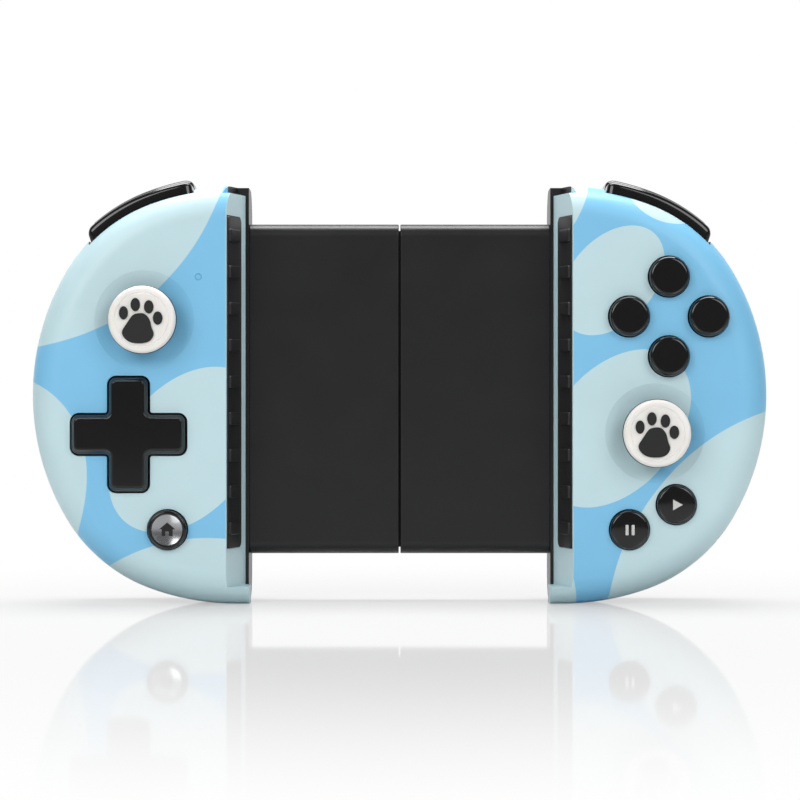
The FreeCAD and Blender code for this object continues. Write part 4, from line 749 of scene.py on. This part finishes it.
# Black acetal: a turned-smooth black with a tight low shine.
black_acetal = moulded("black_acetal", "#111112", 0.3, 0.8, 0.002)
for side, sign in SIDES:
    across, up, front, back = middle_of(f"{side}_stick_cap")
    cap = turned(
        f"{side}_cap_skin",
        [(CORE, front + 0.1), (4.8, front + 0.04), (5.95, front), (6.05, front + 0.12)]
        + [(6.2, front + 0.12), (6.3, front), (6.5, front)] + arc(6.75, front + 1.0, 1.0, -80, 0)
        + [(7.75, back - 0.2), (7.6, back), (CORE, back)],
        across, up,
    )
    fix(cap, white_silicone, f"{side}_stick_cap")
    across, up, front, back = middle_of(f"{side}_stick_shaft")
    head = turned(
        f"{side}_head_skin",
        [(CORE, front), (7.75, front), (7.9, front + 0.12), (7.9, front + 0.3), (6.6, front + 1.3)]
        + [(2.6, front + 1.3)] + arc(2.6, front + 2.0, 0.7, -90, -180)
        + [(1.9, back - 4.1), (1.7, back - 3.9), (1.25, back - 3.9), (1.25, back - 0.2)]
        + [(1.05, back), (CORE, back)],
        across, up, 64,
    )
    fix(head, black_acetal, f"{side}_stick_shaft")
    fix(softened(f"{side}_stick_paw", 0.16, 50, 4), silicone, f"{side}_stick_paw")

# The sticks' housings are of the slide's black nylon, and the yokes and blocks of natural acetal.
for side, sign in SIDES:
    fix(softened(f"{side}_stick_module", 0.15, 30, 2), nylon, f"{side}_stick_module")
    fix(softened(f"{side}_stick_yoke", 0.12, 30, 2), acetal, f"{side}_stick_yoke")
    fix(softened(f"{side}_stick_pivot", 0.12, 30, 2), acetal, f"{side}_stick_pivot")

# THE DIRECTION PAD. One cross moulded in black ABS and polished, with sloping shoulders round a flat
# top. It rocks on a small acetal spider over the rubber sheet.


def cross_outline(reach, half_arm, tip, inner, steps=6):
    """Points round a cross about its middle, with rounded tips and filleted inner corners."""
    points = []
    for quarter in range(4):
        spots = []
        for step in range(steps + 1):
            a = math.radians(-90 + 90 * step / steps)
            spots.append((reach - tip + tip * math.cos(a), -half_arm + tip + tip * math.sin(a)))
        for step in range(steps + 1):
            a = math.radians(90 * step / steps)
            spots.append((reach - tip + tip * math.cos(a), half_arm - tip + tip * math.sin(a)))
        for step in range(steps + 1):
            a = math.radians(270 - 90 * step / steps)
            fillet = half_arm + inner
            spots.append((fillet + inner * math.cos(a), fillet + inner * math.sin(a)))
        turn = math.radians(90 * quarter)
        points += [
            (u * math.cos(turn) - v * math.sin(turn), u * math.sin(turn) + v * math.cos(turn))
            for u, v in spots
        ]
    return points


LEAST_ROUND = 0.05


def layered_cross(name, across, up, reach, half_arm, tip, inner, layers):
    """A cross whose rings stand at given depths, each drawn in by its own inset."""
    rings = []
    for depth, inset in layers:
        outline = cross_outline(
            reach - inset, half_arm - inset, max(tip - inset, LEAST_ROUND),
            max(inner + inset, LEAST_ROUND),
        )
        rings.append([(across + u, depth, up + v) for u, v in outline])
    return stacked(name, rings)


# Polished black ABS: deep black, mirror-like, with a faint waviness over about 2 mm.
gloss_abs = moulded(
    "polished_black_abs", "#0c0c0d", 0.13, 2.2, 0.004,
    **{"Coat Weight": 0.3, "Coat Roughness": 0.05},
)
across, up, front, back = middle_of("dpad")
DPAD_REACH = 13.1
DPAD_HALF_ARM = 4.5
DPAD_TIP = 1.6
DPAD_INNER = 1.0
DPAD_FLANGE = FACE + 3.3
SPIDER_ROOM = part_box("dpad_spider")[0].y / MM - 1.2
dpad = layered_cross(
    "dpad_skin", across, up, DPAD_REACH, DPAD_HALF_ARM, DPAD_TIP, DPAD_INNER,
    (
        (front, 1.3), (front, 1.1), (front + 0.03, 0.92), (front + 0.11, 0.78), (front + 0.24, 0.68),
        (front + 0.9, 0.28), (front + 1.1, 0.1), (front + 1.35, 0.0), (DPAD_FLANGE, 0.0),
        (DPAD_FLANGE + 0.01, -1.1), (back, -1.1), (back, 1.2), (SPIDER_ROOM, 1.3),
    ),
)
fix(dpad, gloss_abs, "dpad")
clad("dpad_spider", acetal)
fix(softened("dpad_frame", 0.12, 30, 2), nylon, "dpad_frame")

# THE FOUR FACE BUTTONS. Each is a polished black ABS cap with a rounded shoulder, a flange that keeps
# it in and a stem over its rubber dome. Their faces are bare.
FLANGE_TOP = FACE + 2.3
FLANGE_BASE = FACE + 3.2
FLANGE_REACH = 0.7
STEM = 2.0


def flange_and_stem(radius, back):
    """The end of a button's outline: its side, the flange below and the stem behind."""
    flange = radius + FLANGE_REACH
    return [
        (radius, FLANGE_TOP), (flange, FLANGE_TOP), (flange, FLANGE_BASE), (STEM, FLANGE_BASE),
        (STEM, back), (CORE, back),
    ]


for name in ("button_top", "button_right", "button_bottom", "button_left"):
    across, up, front, back = middle_of(name)
    button = turned(
        name + "_skin",
        [(CORE, front + 0.02), (2.4, front + 0.02), (3.5, front)]
        + arc(3.75, front + 0.85, 0.85, -90, 0, 8) + flange_and_stem(4.6, back),
        across, up, 72,
    )
    fix(button, gloss_abs, name)

# THE START, SELECT AND HOME BUTTONS. Small domed caps of the same polished ABS. Two carry plain marks
# printed in white ink, a triangle and two bars, and the third a plated dish with a black house on it.

# Pad-printing ink: flat off-white, a little duller than the plastic round it.
print_ink = moulded("white_pad_print_ink", "#c8c8c6", 0.5, 0.2, 0.001)
# Plated ABS: satin chrome, which mirrors the pale floor in the dish's upper half and the room below.
chrome = metal("satin_chrome_plate", "#b4b6b8", 0.2, 1.5, 0.003)


def printed(name, outline, across, up, depth, node):
    """A flat printed mark: an outline about a button's middle, as thick as a layer of ink."""
    rings = [[(across + u, depth + lift, up + v) for u, v in outline] for lift in (-0.03, 0.0)]
    mark = stacked(name, rings)
    mark.data.materials.append(print_ink)
    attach(mark, body_of[node])


def small_outline(front, back):
    """The outline of a small domed button, from its crown to its stem."""
    return (
        [(CORE, front), (1.8, front + 0.03), (2.8, front + 0.09), (3.5, front + 0.18)]
        + arc(3.75, front + 0.95, 0.75, -80, 0, 8) + flange_and_stem(4.5, back)
    )


for name in ("start_button", "select_button"):
    across, up, front, back = middle_of(name)
    fix(turned(name + "_skin", small_outline(front, back), across, up, 72), gloss_abs, name)
    if name == "start_button":
        printed("start_mark", [(-0.9, -1.25), (1.35, 0.0), (-0.9, 1.25)], across, up, front, name)
    else:
        for i, shift in enumerate((-0.7, 0.7)):
            bar = [(shift + u, v) for u, v in rounded_rectangle(0.34, 1.2, 0.15, 3)]
            printed(f"select_mark_{i}", bar, across, up, front, name)

across, up, front, back = middle_of("home_button")
home = turned(
    "home_skin",
    [(CORE, front + 0.8), (3.55, front + 0.8), (3.6, front + 0.75), (3.62, front + 0.1)]
    + arc(3.72, front + 0.1, 0.1, -180, -90, 4) + [(3.9, front)]
    + arc(3.95, front + 0.55, 0.55, -90, 0, 8) + flange_and_stem(4.5, back),
    across, up, 72,
)
fix(home, gloss_abs, "home_button")
DISH = 0.5
DISH_RADIUS = 3.58
disc = turned(
    "home_disc",
    [
        (r, front + 0.12 + DISH * (1 - (r / DISH_RADIUS) ** 2))
        for r in (CORE, 0.8, 1.3, 1.8, 2.3, 2.8, 3.3, 3.56)
    ]
    + [(3.6, front + 0.17), (3.6, front + 0.78), (CORE, front + 0.78)],
    across, up, 72,
)
disc.data.materials.append(chrome)
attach(disc, body_of["home_button"])
half_house = [(0.0, 1.7), (1.85, 0.15), (1.25, 0.15), (1.25, -1.4), (0.42, -1.4), (0.42, -0.35)]
house = half_house + [(-u, v) for u, v in reversed(half_house[1:])]
glyph = stacked("home_glyph", [
    [(across + u, front + depth, up + v) for u, v in house] for depth in (0.42, 0.75)
])
glyph.data.materials.append(gloss_abs)
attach(glyph, body_of["home_button"])

# THE SHOULDER KEYS. A bumper and a trigger at each corner, moulded in ABS and polished, turn on one
# ground steel pin. Each follows the grip's upper edge, with its front edge and ends well rounded.
GRIP_HEIGHT = 97.5
HALF_WIDTH = 85.7
FLAT_END = 38.3
TOP_ARC = 58.0
CORNER_ARC = 38.0
SIDE_ARC = 57.0
KEY_THICK = 4.0
KEY_START = 9.9
KEY_REACH = 23.2
BARREL = 2.0
PIN_HOLE = 0.85


def edge_arcs():
    """Middles, radii and far ends in degrees of the two arcs along a left grip's upper edge."""
    first = Vector((-FLAT_END, GRIP_HEIGHT - TOP_ARC))
    third = Vector((SIDE_ARC - HALF_WIDTH, GRIP_HEIGHT / 2))
    gap = third - first
    near = TOP_ARC - CORNER_ARC
    far = SIDE_ARC - CORNER_ARC
    along = (near * near - far * far + gap.length_squared) / (2 * gap.length)
    across = math.sqrt(near * near - along * along)
    way = gap.normalized()
    second = first + way * along + Vector((way.y, -way.x)) * across
    if second.x > first.x:
        second = first + way * along - Vector((way.y, -way.x)) * across
    turn = math.degrees(math.atan2(first.x - second.x, second.y - first.y))
    return ((first, TOP_ARC, turn), (second, CORNER_ARC, 90.0))


EDGE_ARCS = edge_arcs()


def on_edge(angle, out):
    """A place along a left grip's upper edge, at an angle from straight up and a distance outward."""
    for middle, radius, end in EDGE_ARCS:
        if angle <= end or end == 90.0:
            a = math.radians(angle)
            return middle + Vector((-math.sin(a), math.cos(a))) * (radius + out)


def key_end(out, pin):
    """The angle at which the grip's edge, at a distance outward, is a key's length from its pin."""
    angle = KEY_START
    while (on_edge(angle, out) - pin).length < KEY_REACH:
        angle += 0.02
    return angle


def shoulder_key(name, sign, pin, front, back, rise, rounding):
    """A key swept along the grip's upper edge, its section a rounded rectangle that draws in at both
    ends. Its far end follows an arc round the pin, so that it clears its slot when it is pressed."""
    inner_end = key_end(-KEY_THICK, pin)
    lean = (key_end(rise, pin) - inner_end) / (rise + KEY_THICK)
    turns = [math.radians(18 * i) for i in range(6)]
    ends = [(rounding * (1 - math.cos(a)) / KEY_REACH, rounding * (1 - math.sin(a))) for a in turns]
    first, last = ends[-1][0], 1 - ends[-1][0]
    stations = ends + [(first + (last - first) * i / 24, 0.0) for i in range(1, 24)]
    stations += [(1 - along, inset) for along, inset in reversed(ends)]
    rings = []
    for along, inset in stations:
        section = rounded_rectangle(
            (rise + KEY_THICK) / 2 - inset, (back - front) / 2 - inset, max(rounding - inset, 0.15)
        )
        ring = []
        for u, v in section:
            out = (rise - KEY_THICK) / 2 + u
            span = inner_end + lean * (out + KEY_THICK) - KEY_START
            spot = on_edge(KEY_START + span * along, out)
            ring.append((-sign * spot.x, (front + back) / 2 + v, spot.y))
        rings.append(ring)
    blade = stacked(name + "_blade", rings)
    barrel = turned(
        name + "_barrel",
        [
            (PIN_HOLE, front), (BARREL - 0.2, front), (BARREL, front + 0.2),
            (BARREL, back - 0.2), (BARREL - 0.2, back), (PIN_HOLE, back),
        ],
        -sign * pin.x, pin.y, 40,
    )
    return smooth(joined(name + "_skin", blade, barrel))


for side, sign in SIDES:
    pin_across, pin_up = middle_of("left_trigger_pin")[:2]
    pin = Vector((pin_across, pin_up))
    for kind, rise, rounding in (("bumper", 2.0, 1.3), ("trigger", 3.2, 1.5)):
        front, back = middle_of(f"{side}_{kind}")[2:]
        key = shoulder_key(f"{side}_{kind}", sign, pin, front, back, rise, rounding)
        fix(key, gloss_abs, f"{side}_{kind}")

# Ground steel: bright and smooth.
ground_steel = metal("ground_steel", "#c9cbcd", 0.2, 0.2, 0.001)
for side, sign in SIDES:
    clad(f"{side}_trigger_pin", ground_steel)
    fix(softened(f"{side}_shoulder_switches", 0.15, 30, 2), nylon, f"{side}_shoulder_switches")

# THE INDICATOR. A clear polycarbonate light pipe with the front shell's blue lacquer over it, so that
# it hardly shows until it is lit. It ends flush with the face.

# Lacquered polycarbonate: the shell's own blue, a little glossier than the paint.
lacquered_lens = moulded("lacquered_polycarbonate", "#7fc4ea", 0.35, 0.5, 0.001)
across, up, front, back = middle_of("indicator_lens")
lens = turned(
    "indicator_skin",
    [
        (0.2, front - 0.05), (0.5, front - 0.02), (0.7, front + 0.06), (0.8, front + 0.2),
        (0.8, back), (0.2, back),
    ],
    across, up, 32,
)
fix(lens, lacquered_lens, "indicator_lens")

# THE SCREWS. Eight pan-head thread-forming screws of zinc-plated steel with a cross recess hold the
# rear shells on, four in each. One screw is made and set at the four places of each grip.
SCREW_PLACES = ((46.0, 84.5), (76.2, 50.95), (60.0, 12.8), (45.5, 9.5))
THREAD = 1.0
THREAD_DEEP = 0.28
THREAD_PITCH = 0.8


def one_screw(front, back):
    """A screw on the origin's depth axis, its thread as stacked ridges and its head crossed."""
    outline = [(0.2, front), (THREAD - 0.4, front)]
    depth = front + 0.4
    while depth < back - 2.2:
        outline.append((THREAD - THREAD_DEEP, depth))
        outline.append((THREAD, depth + THREAD_PITCH * 0.4))
        outline.append((THREAD - THREAD_DEEP, depth + THREAD_PITCH * 0.8))
        depth += THREAD_PITCH
    outline += [(THREAD, back - 1.4), (1.65, back - 1.4), (1.8, back - 1.25)]
    outline += arc(1.1, back - 0.7, 0.7, 0, 75, 5) + [(0.2, back)]
    screw = turned("screw", outline, 0.0, 0.0, 32)
    recess = layered_cross(
        "recess", 0.0, 0.0, 0.95, 0.2, 0.06, 0.06,
        ((back - 0.85, 0.1), (back - 0.6, 0.0), (back + 0.2, -0.03)),
    )
    drive = screw.modifiers.new("recess", "BOOLEAN")
    drive.object = recess
    drive.operation = "DIFFERENCE"
    drive.solver = "EXACT"
    finished(screw)
    bpy.data.objects.remove(recess)
    return screw


def set_at_places(name):
    """A node tree that sets one piece at every point of a base mesh, and its inputs' identifiers."""
    tree = bpy.data.node_groups.new(name + "_places", "GeometryNodeTree")
    tree.interface.new_socket("Places", in_out="INPUT", socket_type="NodeSocketGeometry")
    sockets = {}
    for label, kind in (("Screw", "NodeSocketObject"), ("Finish", "NodeSocketMaterial")):
        socket = tree.interface.new_socket(label, in_out="INPUT", socket_type=kind)
        sockets[label] = socket.identifier
    tree.interface.new_socket("Geometry", in_out="OUTPUT", socket_type="NodeSocketGeometry")
    given = tree.nodes.new("NodeGroupInput")
    form = add_node(tree, "GeometryNodeObjectInfo", {"Object": (given, "Screw")})
    rows = add_node(
        tree, "GeometryNodeInstanceOnPoints",
        {"Points": (given, "Places"), "Instance": (form, "Geometry")},
    )
    real = add_node(tree, "GeometryNodeRealizeInstances", {"Geometry": (rows, "Instances")})
    dressed = add_node(
        tree, "GeometryNodeSetMaterial",
        {"Geometry": (real, "Geometry"), "Material": (given, "Finish")},
    )
    add_node(tree, "NodeGroupOutput", {"Geometry": (dressed, "Geometry")})
    return tree, sockets


# Zinc-plated steel: pale grey metal with a soft cloudy shine.
zinc = metal("zinc_plated_steel", "#b9bcbe", 0.34, 0.5, 0.003)
screw_front, screw_back = middle_of("left_screws")[2:]
screw = one_screw(screw_front, screw_back)
for side, sign in SIDES:
    tree, sockets = set_at_places(f"{side}_screws")
    places = new_object("places", [(sign * x * MM, 0, z * MM) for x, z in SCREW_PLACES], [])
    screws = grown(
        f"{side}_screws_skin", tree, {sockets["Screw"]: screw, sockets["Finish"]: zinc}, places
    )
    screws.data.set_sharp_from_angle(angle=math.radians(35))
    fix(screws, zinc, f"{side}_screws")
bpy.data.objects.remove(screw)

# THE ELECTRONICS. Glass-epoxy boards with green solder mask, a lithium cell in silver film, a stamped
# steel charging port and milky silicone dome sheets. All but the port's mouth lie hidden inside.


def solder_mask():
    """Solder mask over copper: a dark green gloss, lighter along square traces 0.3 mm wide."""
    material, tree = new_material("green_solder_mask")
    place = add_node(tree, "ShaderNodeTexCoord")
    flat = add_node(
        tree, "ShaderNodeMapping", {"Vector": (place, "Object"), "Scale": (1.0, 0.001, 1.0)}
    )
    traces = add_node(
        tree, "ShaderNodeTexBrick",
        {
            "Vector": (flat, "Vector"), "Color1": shade("#0d3b24"), "Color2": shade("#10442a"),
            "Mortar": shade("#2a6a45"), "Scale": 120.0, "Mortar Size": 0.03, "Brick Width": 0.9,
            "Row Height": 0.3,
        },
    )
    skin = add_node(
        tree, "ShaderNodeBsdfPrincipled", {"Base Color": (traces, "Color"), "Roughness": 0.25}
    )
    add_node(tree, "ShaderNodeOutputMaterial", {"Surface": (skin, "BSDF")})
    return material


mask = solder_mask()
for side, sign in SIDES:
    clad(f"{side}_main_board", mask)

# Aluminium-laminate film round the cell: dull silver, softly creased.
film = metal("aluminium_laminate_film", "#b4b6b8", 0.4, 4.0, 0.05)
fix(softened("battery", 0.8, 30, 4), film, "battery")
# Stamped steel of the port: thin, bright, its mouth's edges just eased.
stamped_steel = metal("stamped_steel", "#bfc1c3", 0.3, 0.4, 0.002)
fix(softened("charging_port", 0.08, 30, 2), stamped_steel, "charging_port")
# Milky silicone of the domes: soft, matt and translucent.
milky = moulded(
    "milky_silicone", "#cfcfca", 0.5, 0.4, 0.003,
    **{"Subsurface Weight": 0.3, "Subsurface Scale": 1.0 * MM},
)
for node in ("dpad_membrane", "button_membrane"):
    fix(softened(node, 0.12, 30, 2), milky, node)
